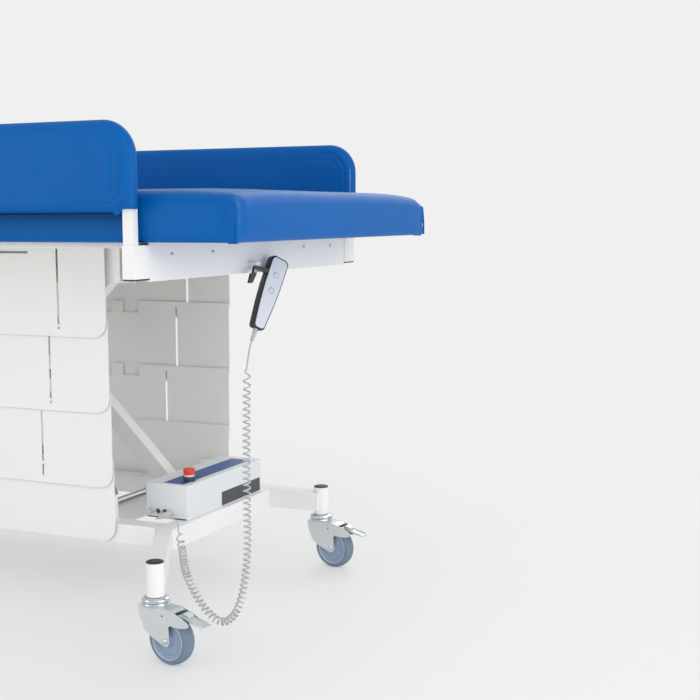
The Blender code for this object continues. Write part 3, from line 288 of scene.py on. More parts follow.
def material(kind):
    """Return a finish, made once."""
    tones = colours()
    makers = {
        # Polyester powder baked on steel: soft gloss, with its orange peel drawn at 3 mm to show
        "paint": lambda: finish(
            "powder_coated_steel", tones.paint, 0.97, 0.30, (0.36, 0.46), 0.05, 3 * MM, 0.05 * MM),
        # PVC-coated knit: satin skin with a leather grain of 2 mm pressed in, and a faintly cloudy tone
        "vinyl": lambda: finish(
            "pvc_coated_cloth", tones.vinyl, 0.86, 0.16, (0.36, 0.46), 0.03, 1.2 * MM, 0.12 * MM, 2.2 * MM, ior=1.2),
        # Folded back of the same cloth, coloured dark as painted shade under the pad's edge: dull, with a knit of 1 mm
        "hem": lambda: finish("knit_hem_painted_shade", tones.hem, 0.80, 0.03, (0.60, 0.72), 0.01, MM, 0.08 * MM),
        # Chipboard faced with melamine paper: even and dull, with a pressed pore of 2 mm
        "board": lambda: finish(
            "melamine_board", tones.laminate, 0.95, 0.20, (0.48, 0.58), 0.04, 2 * MM, 0.04 * MM),
        # Moulded ABS and nylon: one colour, with the fine spark texture of the mould drawn at 1 mm to show
        "case": lambda: finish("abs_case", tones.case, 0.95, 0.04, (0.37, 0.48), 0.012, MM, 0.05 * MM, ior=1.46),
        "shell": lambda: finish("abs_shell", tones.shell, 0.90, 0.04, (0.35, 0.46), 0.012, MM, 0.06 * MM, ior=1.46),
        "cap": lambda: finish("polyethylene_cap", tones.cap, 0.88, 0.03, (0.43, 0.54), 0.01, MM, 0.06 * MM),
        "hub": lambda: finish("nylon_hub", tones.hub, 0.92, 0.03, (0.40, 0.52), 0.01, MM, 0.06 * MM),
        "rim": lambda: finish("nylon_rim", tones.rim, 0.94, 0.03, (0.38, 0.50), 0.01, MM, 0.05 * MM),
        "red": lambda: finish("polyamide_red", tones.stop_red, 0.93, 0.02, (0.30, 0.40), 0.01, MM, 0.04 * MM),
        "navy": lambda: finish("polyamide_navy", tones.stop_navy, 0.92, 0.02, (0.32, 0.42), 0.01, MM, 0.04 * MM),
        "pale": lambda: finish("polyamide_pale", tones.stop_ring, 0.95, 0.02, (0.36, 0.46), 0.01, MM, 0.04 * MM),
        # Soft silicone keys and extruded PVC: dull, slightly uneven from the die or the mould
        "keys": lambda: finish("silicone_keys", tones.keypad, 0.95, 0.01, (0.46, 0.56), 0.006, MM, 0.04 * MM, ior=1.42),
        "jacket": lambda: finish("pvc_jacket", tones.jacket, 0.93, 0.02, (0.42, 0.54), 0.008, MM, 0.04 * MM),
        # Printed polyester film: flat and faintly hazy
        "label": lambda: finish("polyester_label", tones.label, 0.88, 0.06, (0.32, 0.42), 0.02, MM, 0.02 * MM, ior=1.3),
        "keypad": lambda: finish("polyester_keypad", tones.keypad, 0.95, 0.05, (0.36, 0.46), 0.02, MM, 0.02 * MM),
        "ring": lambda: finish("polyester_ring", tones.key_ring, 0.94, 0.02, (0.36, 0.46), 0.02, MM, 0.02 * MM),
        # Ribbed rubber sheet: dull and dark, with a 2 mm rib too fine for the picture, so drawn as grain
        "patch": lambda: finish("rubber_patch", tones.patch, 0.86, 0.03, (0.62, 0.74), 0.01, 2 * MM, 0.10 * MM),
        # Zinc and nickel on pressed steel: bright, with a cloudy bloom a few millimetres wide
        "zinc": lambda: finish("bright_zinc", tones.zinc, 0.90, 9 * MM, (0.38, 0.50), 5 * MM, metallic=1.0),
        "chrome": lambda: finish("nickel_ring", tones.chrome, 0.88, 9 * MM, (0.10, 0.20), 5 * MM, metallic=1.0),
        # Ground steel bar: bright, with tool rings drawn 2 mm apart, because real ones are too fine to show
        "steel": lambda: finish(
            "turned_steel", tones.steel, 0.82, 9 * MM, (0.24, 0.38), 4 * MM, rings=2 * MM, metallic=1.0),
        # Thermoplastic rubber: dull, a little dusty, with a moulded grain
        "tyre": lambda: finish("tyre_rubber", tones.tyre, 0.86, 0.015, (0.55, 0.72), 0.01, 1.4 * MM, 0.10 * MM),
    }
    if kind not in _made:
        _made[kind] = makers[kind]()
    return _made[kind]


# Shapes

def arc(u, v, radius, start, end, steps):
    """Return points on an arc, with angles in degrees."""
    points = []
    for step in range(steps + 1):
        angle = math.radians(start + (end - start) * step / steps)
        points.append((u + radius * math.cos(angle), v + radius * math.sin(angle)))
    return points


def metres(points):
    """Turn pairs in millimetres into metres."""
    return [(u * MM, v * MM) for u, v in points]


def rounded(u0, v0, u1, v1, radius, steps=5):
    """Return a rectangle with round corners."""
    points = arc(u0 + radius, v0 + radius, radius, 180, 270, steps)
    points += arc(u1 - radius, v0 + radius, radius, 270, 360, steps)
    points += arc(u1 - radius, v1 - radius, radius, 0, 90, steps)
    points += arc(u0 + radius, v1 - radius, radius, 90, 180, steps)
    return points


def extruded(outline, low, high, matrix=Matrix.Identity(4), holes=()):
    """Extrude an outline in X and Y, with holes, along Z, and place it by a matrix."""
    shape = bmesh.new()
    edges = []
    for loop in (outline, *holes):
        points = [shape.verts.new((u, v, low)) for u, v in loop]
        for index, point in enumerate(points):
            edges.append(shape.edges.new((points[index - 1], point)))
    bmesh.ops.triangle_fill(shape, use_beauty=True, edges=edges)
    bmesh.ops.dissolve_limit(shape, angle_limit=math.radians(1), verts=shape.verts, edges=shape.edges)
    grown = bmesh.ops.extrude_face_region(shape, geom=shape.faces[:])
    moved = [part for part in grown["geom"] if isinstance(part, bmesh.types.BMVert)]
    bmesh.ops.translate(shape, verts=moved, vec=(0.0, 0.0, high - low))
    bmesh.ops.transform(shape, matrix=matrix, verts=shape.verts)
    return shape


def turned(profile, matrix=Matrix.Identity(4), sides=40):
    """Turn a profile of (radius, height) pairs about Z. A ring's profile starts and ends off the axis."""
    shape = bmesh.new()
    rings = []
    for radius, height in profile:
        count = sides if radius > 0.0 else 1
        turns = [2 * math.pi * step / sides for step in range(count)]
        rings.append([
            shape.verts.new((radius * math.cos(turn), radius * math.sin(turn), height)) for turn in turns
        ])
    if len(rings[0]) > 1:
        rings.append(rings[0])
    for lower, upper in zip(rings, rings[1:]):
        for index in range(sides):
            corners = [lower[index - 1], lower[index]] if len(lower) > 1 else [lower[0]]
            corners += [upper[index], upper[index - 1]] if len(upper) > 1 else [upper[0]]
            shape.faces.new(corners)
    bmesh.ops.transform(shape, matrix=matrix, verts=shape.verts)
    return shape


def tube(points, radius, sides=8):
    """Return a round tube along points, closed at both ends."""
    shape = bmesh.new()
    rings = []
    side = Vector((1.0, 0.0, 0.0))
    for index, point in enumerate(points):
        ahead = (points[min(index + 1, len(points) - 1)] - points[max(index - 1, 0)]).normalized()
        if abs(side.dot(ahead)) > 0.95:
            side = ahead.orthogonal()
        side = (side - ahead * side.dot(ahead)).normalized()
        other = ahead.cross(side)
        ring = []
        for step in range(sides):
            turn = 2 * math.pi * step / sides
            ring.append(shape.verts.new(point + (side * math.cos(turn) + other * math.sin(turn)) * radius))
        rings.append(ring)
    for lower, upper in zip(rings, rings[1:]):
        for index in range(sides):
            shape.faces.new((lower[index - 1], lower[index], upper[index], upper[index - 1]))
    shape.faces.new(rings[0])
    shape.faces.new(rings[-1])
    return shape


def joined(*shapes):
    """Put several bodies into one shape."""
    whole = shapes[0]
    for other in shapes[1:]:
        mesh = bpy.data.meshes.new("work")
        other.to_mesh(mesh)
        other.free()
        whole.from_mesh(mesh)
        bpy.data.meshes.remove(mesh)
    return whole


def piece(name, shape, kind, body, edge=0.0, steps=2):
    """Make a piece of a shape, with a finish and a broken edge, that rides on a body."""
    bmesh.ops.recalc_face_normals(shape, faces=shape.faces)
    mesh = bpy.data.meshes.new(name)
    shape.to_mesh(mesh)
    shape.free()
    mesh.shade_smooth()
    mesh.set_sharp_from_angle(angle=SMOOTH_ANGLE)
    mesh.materials.append(material(kind))
    item = bpy.data.objects.new(name, mesh)
    bpy.context.scene.collection.objects.link(item)
    if edge > 0.0:
        break_edges(item, edge, steps)
    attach(item, body)
    return item


def break_edges(item, width, steps=2):
    """Round a piece's sharp edges."""
    bevel = item.modifiers.new("edges", "BEVEL")
    bevel.width = width
    bevel.segments = steps
    bevel.limit_method = "ANGLE"
    bevel.angle_limit = SMOOTH_ANGLE
    bevel.harden_normals = True


def dress(names, kind, edge=0.0):
    """Give CAD nodes a finish, smooth round faces and broken edges."""
    for name in names:
        item = frame["nodes"][name]
        mesh = item.data
        mesh.materials.clear()
        mesh.materials.append(material(kind))
        if "custom_normal" in mesh.attributes:
            mesh.attributes.remove(mesh.attributes["custom_normal"])
        mesh.shade_smooth()
        weld = item.modifiers.new("weld", "WELD")
        weld.merge_threshold = 0.01 * MM
        if edge > 0.0:
            break_edges(item, edge)
        else:
            split = item.modifiers.new("split", "EDGE_SPLIT")
            split.split_angle = SMOOTH_ANGLE


class DressStage(bpy.types.Operator):
    """Make the camera, the lights and the studio floor."""

    bl_idname = "changing_table.stage"
    bl_label = "Stage"

    def execute(self, context):
        scene = context.scene
        scene.view_settings.view_transform = "Standard"
        self.camera(scene)
        self.lamp("key_light", (3.2, -3.6, 3.4), 3.2, 41.0)
        self.lamp("side_light", (4.2, -1.0, 1.0), 3.0, 50.0)
        self.lamp("fill_light", (-2.6, -4.2, 1.2), 3.0, 38.0)
        self.lamp("back_light", (0.5, 3.8, 3.2), 3.0, 40.0)
        self.surroundings(scene)
        self.floor()
        return {"FINISHED"}

    def camera(self, scene):
        """Stand the camera where the photograph was taken from."""
        data = bpy.data.cameras.new("camera")
        data.lens = sizes().lens
        data.sensor_width = 36.0
        item = bpy.data.objects.new("camera", data)
        yaw, pitch, roll = sizes().camera_turn
        turn = Matrix.Rotation(yaw, 4, "Z") @ Matrix.Rotation(math.pi / 2 - pitch, 4, "X")
        turn = turn @ Matrix.Rotation(roll, 4, "Z")
        item.matrix_world = Matrix.Translation(sizes().camera_place) @ turn
        scene.collection.objects.link(item)
        scene.camera = item

    def lamp(self, name, place, width, power):
        """Hang a square soft light that faces the middle of the table."""
        data = bpy.data.lights.new(name, "AREA")
        data.size = width
        data.energy = power
        item = bpy.data.objects.new(name, data)
        item.location = place
        middle = (CAD_BOX[0] + CAD_BOX[1]) / 2
        item.rotation_euler = (middle - Vector(place)).to_track_quat("-Z", "Y").to_euler()
        bpy.context.scene.collection.objects.link(item)

    def seen(self, tree):
        """Return 1 for the rays that show the background: those of the camera, of gloss and through glass."""
        rays = node(tree, "ShaderNodeLightPath").outputs
        seen = node(tree, "ShaderNodeMath", {0: rays["Is Camera Ray"], 1: rays["Is Glossy Ray"]}, operation="MAXIMUM")
        seen = node(tree, "ShaderNodeMath", {0: seen.outputs[0], 1: rays["Is Transmission Ray"]}, operation="MAXIMUM")
        return seen.outputs[0]

    def surroundings(self, scene):
        """Light the scene evenly, and show the floor's colour behind it."""
        world = bpy.data.worlds.new("studio")
        world.use_nodes = True
        scene.world = world
        tree = world.node_tree
        tree.nodes.clear()
        shown = node(tree, "ShaderNodeBackground", {"Color": (*colours().floor, 1.0), "Strength": 1.0})
        light = node(tree, "ShaderNodeBackground", {"Color": (1.0, 1.0, 1.0, 1.0), "Strength": 0.72})
        mix = node(tree, "ShaderNodeMixShader", {
            "Fac": self.seen(tree), 1: light.outputs[0], 2: shown.outputs[0],
        })
        node(tree, "ShaderNodeOutputWorld", {"Surface": mix.outputs[0]})

    def floor(self):
        """Lay the pale floor, which takes the table's soft shadow and fades into the background."""
        reach, near, far = 40.0, 1.1, 2.6
        shape = bmesh.new()
        bmesh.ops.create_circle(shape, cap_ends=True, segments=64, radius=reach)
        mesh = bpy.data.meshes.new("floor")
        shape.to_mesh(mesh)
        shape.free()
        # Painted studio floor: plain and dull, with a faint mottle
        made = finish("painted_floor", colours().floor, 0.985, 0.6, (0.55, 0.65), 0.3)
        tree = made.node_tree
        place = node(tree, "ShaderNodeTexCoord").outputs["Object"]
        away = node(tree, "ShaderNodeVectorMath", {0: place}, operation="LENGTH").outputs["Value"]
        fade = node(tree, "ShaderNodeMapRange", {"Value": away, "From Min": near, "From Max": far, "To Min": 0.45})
        share = {0: fade.outputs["Result"], 1: self.seen(tree)}
        share = node(tree, "ShaderNodeMath", share, operation="MULTIPLY").outputs[0]
        glow = node(tree, "ShaderNodeEmission", {"Color": (*colours().floor, 1.0), "Strength": 1.0})
        painted = tree.nodes["Principled BSDF"].outputs[0]
        mix = node(tree, "ShaderNodeMixShader", {"Fac": share, 1: painted, 2: glow.outputs[0]})
        tree.links.new(mix.outputs[0], tree.nodes["Material Output"].inputs["Surface"])
        mesh.materials.append(made)
        item = bpy.data.objects.new("floor", mesh)
        bpy.context.scene.collection.objects.link(item)


def handset_matrix():
    """Return the handset's matrix: X across, Y along its length upwards, Z out of its face."""
    along = (HANDSET_TOP - HANDSET_LOW).normalized()
    facing = Vector((math.cos(HANDSET_YAW), math.sin(HANDSET_YAW), 0.0))
    face = (facing - along * facing.dot(along)).normalized()
    across = along.cross(face)
    turn = Matrix((across, along, face)).transposed().to_4x4()
    return Matrix.Translation(HANDSET_TOP) @ turn


def smooth_route(points, samples):
    """Return points on a smooth curve through the route's points."""
    ends = [2 * points[0] - points[1], *points, 2 * points[-1] - points[-2]]
    dense = []
    steps = max(2, samples // (len(points) - 1))
    for a, b, c, d in zip(ends, ends[1:], ends[2:], ends[3:]):
        for step in range(steps):
            t = step / steps
            bend = (2 * a - 5 * b + 4 * c - d) * t * t + (3 * b - a - 3 * c + d) * t ** 3
            dense.append(0.5 * (2 * b + (c - a) * t + bend))
    dense.append(points[-1].copy())
    return dense


def curl_pitch(share):
    """Return the distance between curls at a share of the coil's length."""
    place = share * (len(CURL_PITCHES) - 1)
    index = min(int(place), len(CURL_PITCHES) - 2)
    part = place - index
    return CURL_PITCHES[index] * (1.0 - part) + CURL_PITCHES[index + 1] * part


def curled(line, per_curl):
    """Return the wire's points on a helix around a line, with its radius growing in at both ends."""
    lengths = [0.0]
    for a, b in zip(line, line[1:]):
        lengths.append(lengths[-1] + (b - a).length)
    turns = [0.0]
    for index in range(1, len(line)):
        step = lengths[index] - lengths[index - 1]
        turns.append(turns[-1] + step / curl_pitch(lengths[index] / lengths[-1]))
    scale = CURLS / turns[-1]
    side = Vector((1.0, 0.0, 0.0))
    points = []
    wanted = 0
    for index, point in enumerate(line):
        ahead = (line[min(index + 1, len(line) - 1)] - line[max(index - 1, 0)]).normalized()
        side = (side - ahead * side.dot(ahead)).normalized()
        turn = turns[index] * scale
        if turn * per_curl < wanted:
            continue
        wanted += 1
        ease = max(0.0, min(1.0, turn, CURLS - turn))
        angle = turn * 2 * math.pi
        points.append(point + (side * math.cos(angle) + ahead.cross(side) * math.sin(angle)) * CURL_R * ease)
    return points


class DressCord(bpy.types.Operator):
    """Make the curly cord, in an upper part down to its lowest point and a lower part, both on the base."""

    bl_idname = "changing_table.cord"
    bl_label = "Curly cord"

    def execute(self, context):
        points = self.wire()
        lowest = min(range(len(points)), key=lambda index: points[index].z)
        exit_point = points[0]
        plug = frame["nodes"]["cord_plug"]
        dress(["cord_plug"], "jacket", 0.6 * MM)
        upper = self.part("cord_upper", points[:lowest + 1])
        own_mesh(upper)
        self.declare(upper, points[:lowest + 1], exit_point, "object", "hanging", [])
        lower = self.part("cord_lower", points[lowest:])
        self.declare(lower, points[lowest:], points[lowest], "plug", "loose", [plug])
        return {"FINISHED"}

    def wire(self):
        """Return all points of the wire from the handset to the plug."""
        matrix = handset_matrix()
        start = matrix @ Vector((0.0, -HANDSET_LENGTH - RELIEF_LENGTH, 0.0))
        leaving = (matrix.to_3x3() @ Vector((0.0, -1.0, 0.0))).normalized()
        low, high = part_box("cord_plug")
        plug_rear = Vector(((low.x + high.x) / 2, low.y - 0.3 * MM, (low.z + high.z) / 2))
        lead = smooth_route([start + leaving * 2 * RELIEF_R, *CORD_LEAD, CORD_COIL[0]], 24)
        coil = curled(smooth_route(CORD_COIL, 4800), 16)
        tail = smooth_route([CORD_COIL[-1], *CORD_TAIL, plug_rear - Vector((0.0, 4 * WIRE_R, 0.0))], 40)
        return [start + leaving * 0.6 * MM] + lead[:-1] + coil[1:-1] + tail + [plug_rear]

    def part(self, name, points):
        """Make one part of the wire."""
        item = piece(name, tube(points, WIRE_R, 10), "jacket", "base")
        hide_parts("handset_cord")
        return item

    def declare(self, item, points, start, far_end, lay, pieces):
        """Do nothing with the part."""


def eased(steps, gather):
    """Return places from -1 to 1 that lie closer together towards the ends."""
    places = []
    for step in range(steps + 1):
        flat = -1.0 + 2.0 * step / steps
        places.append(gather * math.sin(flat * math.pi / 2) + (1.0 - gather) * flat)
    return places


def swell(item, cap, held):
    """Let the foam push a cover out: cloth under pressure and without gravity, over 20 frames.

    Points for which held is true stay in place. The whole movement is scaled so that no point goes beyond the cap.
    """
    scene = bpy.context.scene
    start = [point.co.copy() for point in item.data.vertices]
    sewn = item.vertex_groups.new(name="sewn")
    sewn.add([index for index, point in enumerate(start) if held(point)], 1.0, "REPLACE")
    cloth = item.modifiers.new("cloth", "CLOTH")
    cloth.settings.vertex_group_mass = sewn.name
    cloth.settings.use_pressure = True
    cloth.settings.uniform_pressure_force = PAD_PRESSURE
    cloth.settings.effector_weights.gravity = 0.0
    cloth.point_cache.frame_start, cloth.point_cache.frame_end = 1, SWELL_FRAMES
    for number in range(1, SWELL_FRAMES + 1):
        scene.frame_set(number)
    blown = item.evaluated_get(bpy.context.evaluated_depsgraph_get())
    ends = [point.co.copy() for point in blown.to_mesh().vertices]
    blown.to_mesh_clear()
    item.modifiers.remove(cloth)
    item.vertex_groups.remove(sewn)
    scene.frame_set(1)
    furthest = max((end - was).length for was, end in zip(start, ends))
    share = min(1.0, cap / furthest)
    for point, was, end in zip(item.data.vertices, start, ends):
        point.co = was.lerp(end, share)


def roll_over(distance, width):
    """Return the height, from 0 to 1, of a quarter round at a distance from its edge."""
    share = min(1.0, max(0.0, distance / width))
    return math.sqrt(1.0 - (1.0 - share) ** 2)


class DressMattress(bpy.types.Operator):
    """Make the crowned mattress with its corner seams and hem tabs."""

    bl_idname = "changing_table.mattress"
    bl_label = "Mattress"

    columns, rows = 92, 52
    edge_height, corner_dip, dip_reach = 0.083, 0.011, 0.26

    def execute(self, context):
        self.low, self.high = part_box("mattress")
        item = piece("mattress_cover", self.cover(), "vinyl", "top")
        swell(item, 5 * MM, self.sewn)
        smooth = item.modifiers.new("smooth", "SUBSURF")
        smooth.levels = smooth.render_levels = 1
        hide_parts("mattress")
        seams = [self.seam(x, y) for _, x in ENDS for _, y in SIDES]
        piece("mattress_corner_seams", joined(*seams), "vinyl", "top")
        return {"FINISHED"}

    def sewn(self, point):
        """Tell whether a point lies on the board or in a corner seam."""
        corner = abs(point.x) > self.high.x - 6 * MM and abs(point.y) > self.high.y - 6 * MM
        return corner or point.z < self.low.z + 3 * MM

    def corner_gap(self, u, v):
        """Return the distance to the nearest corner of the outline."""
        return math.hypot((1.0 - abs(u)) * self.high.x, (1.0 - abs(v)) * self.high.y)

    def shoulder(self, u, v):
        """Return the height where the rounded upper edge starts, which dips towards the corners."""
        near = max(0.0, 1.0 - self.corner_gap(u, v) / self.dip_reach)
        return self.low.z + self.edge_height - self.corner_dip * near * near

    def fold(self, u, v, height):
        """Return the depth of the slack fold that runs up and away from a corner seam."""
        gap = self.corner_gap(u, v)
        line = 0.026 + 0.45 * gap
        return 3.0 * MM * math.exp(-((height - line) / 0.011) ** 2) * max(0.0, 1.0 - gap / 0.075)

    def plan(self, u, v, inset):
        """Return x and y on the drawn-in outline, moved in by an inset."""
        draw = sizes().mattress_draw
        x = u * (self.high.x - inset - draw * (1.0 - v * v))
        y = v * (self.high.y - inset - draw * (1.0 - u * u))
        return x, y

    def pucker(self, u, v):
        """Return how far the cover is pulled in beside the corner seams."""
        gap = self.corner_gap(u, v)
        return 2.6 * MM * math.exp(-((gap - 0.020) / 0.010) ** 2) - 1.0 * MM * math.exp(-((gap - 0.045) / 0.014) ** 2)

    def crown(self, u, v):
        """Return the height of the top over the shoulder."""
        x_gap = (1.0 - abs(u)) * self.high.x
        y_gap = (1.0 - abs(v)) * self.high.y
        roll = sizes().mattress_roll
        rise = sizes().mattress_rise * roll_over(x_gap, roll) * roll_over(y_gap, roll)
        full = self.high.z - 4 * MM - self.shoulder(u, v) - sizes().mattress_rise
        fill = full * ((1.0 - u ** 8) * (1.0 - v ** 4)) ** 0.6
        ripple = 1.2 * MM * noise.noise(Vector((u * 5.0, v * 3.0, 0.3)))
        return rise + fill + ripple * roll_over(min(x_gap, y_gap), 0.10)

    def cover(self):
        """Return the cover: a flat underside, bulging sides and a crowned top."""
        us, vs = eased(self.columns, 0.72), eased(self.rows, 0.72)
        ring = [(u, -1.0) for u in us[:-1]] + [(1.0, v) for v in vs[:-1]]
        ring += [(u, 1.0) for u in us[:0:-1]] + [(-1.0, v) for v in vs[:0:-1]]
        shape = bmesh.new()
        levels = [(0.0, 0.012), (0.0, 0.005), (0.05, 0.0015), (0.12, 0.0)]
        levels += [(0.12 + 0.88 * step / 12, 0.0) for step in range(1, 13)]
        loops = []
        for share, inset in levels:
            bulge = sizes().mattress_bulge * math.sin(math.pi * share)
            loop = []
            for u, v in ring:
                height = (self.shoulder(u, v) - self.low.z) * share
                away = min(1.0, self.corner_gap(u, v) / 0.12)
                drawn = self.pucker(u, v) * share + self.fold(u, v, height)
                x, y = self.plan(u, v, inset - bulge * away + drawn)
                loop.append(shape.verts.new((x, y, self.low.z + height)))
            loops.append(loop)
        for lower, upper in zip(loops, loops[1:]):
            for index in range(len(ring)):
                shape.faces.new((lower[index - 1], lower[index], upper[index], upper[index - 1]))
        shape.faces.new(loops[0])
        self.top(shape, us, vs, loops[-1])
        return shape

    def top(self, shape, us, vs, rim):
        """Fill the rim with the crowned top."""
        columns, rows = self.columns, self.rows
        known = {}
        edge = [(i, 0) for i in range(columns)] + [(columns, j) for j in range(rows)]
        edge += [(columns - i, rows) for i in range(columns)] + [(0, rows - j) for j in range(rows)]
        for place, point in zip(edge, rim):
            known[place] = point
        for j, v in enumerate(vs):
            for i, u in enumerate(us):
                if (i, j) not in known:
                    height = self.shoulder(u, v) + self.crown(u, v)
                    known[i, j] = shape.verts.new((*self.plan(u, v, self.pucker(u, v)), height))
        for j in range(rows):
            for i in range(columns):
                shape.faces.new((known[i, j], known[i + 1, j], known[i + 1, j + 1], known[i, j + 1]))

    def seam(self, x, y):
        """Return the welt of one upright corner seam, with the hem tab under it."""
        inset = 0.0010
        corner = Vector((x * (self.high.x - inset), y * (self.high.y - inset), 0.0))
        steps = 10
        points = []
        for step in range(steps + 1):
            share = step / steps
            height = self.low.z + 2 * MM + (self.shoulder(x, y) - self.low.z) * share
            lean = 3.0 * MM * share ** 3
            points.append(corner + Vector((-x * lean, -y * lean, height)))
        tab = extruded(rounded(-0.010, -0.006, 0.010, 0.006, 0.004), -1.5 * MM, 2.0 * MM)
        bmesh.ops.translate(tab, verts=tab.verts, vec=corner + Vector((-x * 0.014, -y * 0.010, self.low.z)))
        return joined(tube(points, sizes().welt), tab)


class DressRails(bpy.types.Operator):
    """Make the padded side rails and finish their posts."""

    bl_idname = "changing_table.rails"
    bl_label = "Side rails"

    columns, rows = 190, 36

    def execute(self, context):
        for side, sign in SIDES:
            node_name = "rail_pad_" + side
            item = piece("rail_cover_" + side, self.cover(node_name, sign), "vinyl", "rail_" + side)
            swell(item, 2 * MM, self.sewn)
            smooth = item.modifiers.new("smooth", "SUBSURF")
            smooth.levels = smooth.render_levels = 1
            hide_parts(node_name)
            self.hem(side)
            dress(["rail_post_" + side + "_" + end for end, _ in ENDS], "paint", 1.0 * MM)
        return {"FINISHED"}

    def hem(self, side):
        """Make the hem along the pad's lower edge, between the tucks, coloured dark as painted shade under that edge,
        so that it shows as a line.
        """
        reach = self.high.x - 0.047
        middle, half = (self.low.y + self.high.y) / 2, 17 * MM
        outline = rounded(-reach, middle - half, reach, middle + half, 6 * MM)
        shape = extruded(outline, self.low.z - PAD_HANG, self.low.z)
        piece("rail_hem_painted_shade_" + side, shape, "hem", "rail_" + side, 0.8 * MM)

    def sewn(self, point):
        """Tell whether a point lies in the seam that runs round the pad."""
        return self.inside(point.x, point.z) < 1.0 * MM

    def bottom(self, x):
        """Return the height of the lower edge, which is tucked up where the posts enter."""
        share = min(1.0, max(0.0, (abs(x) - self.high.x + 0.044) / 0.014))
        return self.low.z - PAD_HANG + (0.010 + PAD_HANG) * share * share * (3.0 - 2.0 * share)

    def inside(self, x, z):
        """Return how far a point lies inside the pad's outline."""
        corner = sizes().pad_corner
        flat = min(self.high.x - abs(x), self.high.z - z, z - self.bottom(x))
        over_x = abs(x) - (self.high.x - corner)
        over_z = z - (self.high.z - corner)
        if over_x > 0.0 and over_z > 0.0:
            return min(flat, corner - math.hypot(over_x, over_z))
        return flat

    def fullness(self, x, z):
        """Return the pad's half thickness at a point of its outline's plane."""
        gap = self.inside(x, z)
        full = (self.high.y - self.low.y) / 2 - 1.5 * MM
        half = full * 0.955 * roll_over(gap, sizes().pad_roll)
        half += full * 0.045 * roll_over(gap, 0.09)
        end = min(1.0, max(0.0, (abs(x) - self.high.x + 0.16) / 0.08))
        creases = 3.2 * MM * math.exp(-((gap - 0.025) / 0.0042) ** 2)
        creases += 2.2 * MM * math.exp(-((gap - 0.041) / 0.0050) ** 2)
        wave = 0.7 * MM * noise.noise(Vector((x * 7.0, z * 11.0, self.low.y)))
        return half - creases * end + wave * roll_over(gap, 0.08)

    def cover(self, node_name, sign):
        """Return the pad's cover, with both faces meeting along its outline."""
        self.low, self.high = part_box(node_name)
        middle = (self.low.y + self.high.y) / 2
        corner = sizes().pad_corner
        shape = bmesh.new()
        grids = {1: [], -1: []}
        for u in eased(self.columns, 0.90):
            x = u * self.high.x
            over = max(0.0, abs(x) - (self.high.x - corner))
            top = self.high.z - corner + math.sqrt(max(0.0, corner ** 2 - over ** 2))
            lines = {1: [], -1: []}
            bottom = self.bottom(x)
            for index, v in enumerate(eased(self.rows, 0.90)):
                z = bottom + (top - bottom) * (v + 1.0) / 2
                rim = abs(u) == 1.0 or index in (0, self.rows)
                half = 0.0 if rim else max(0.0004, self.fullness(x, z))
                first = shape.verts.new((x, middle + half, z))
                lines[1].append(first)
                lines[-1].append(first if rim else shape.verts.new((x, middle - half, z)))
            for face in (1, -1):
                grids[face].append(lines[face])
        for face in (1, -1):
            grid = grids[face]
            for i in range(self.columns):
                for j in range(self.rows):
                    shape.faces.new((grid[i][j], grid[i + 1][j], grid[i + 1][j + 1], grid[i][j + 1]))
        return shape


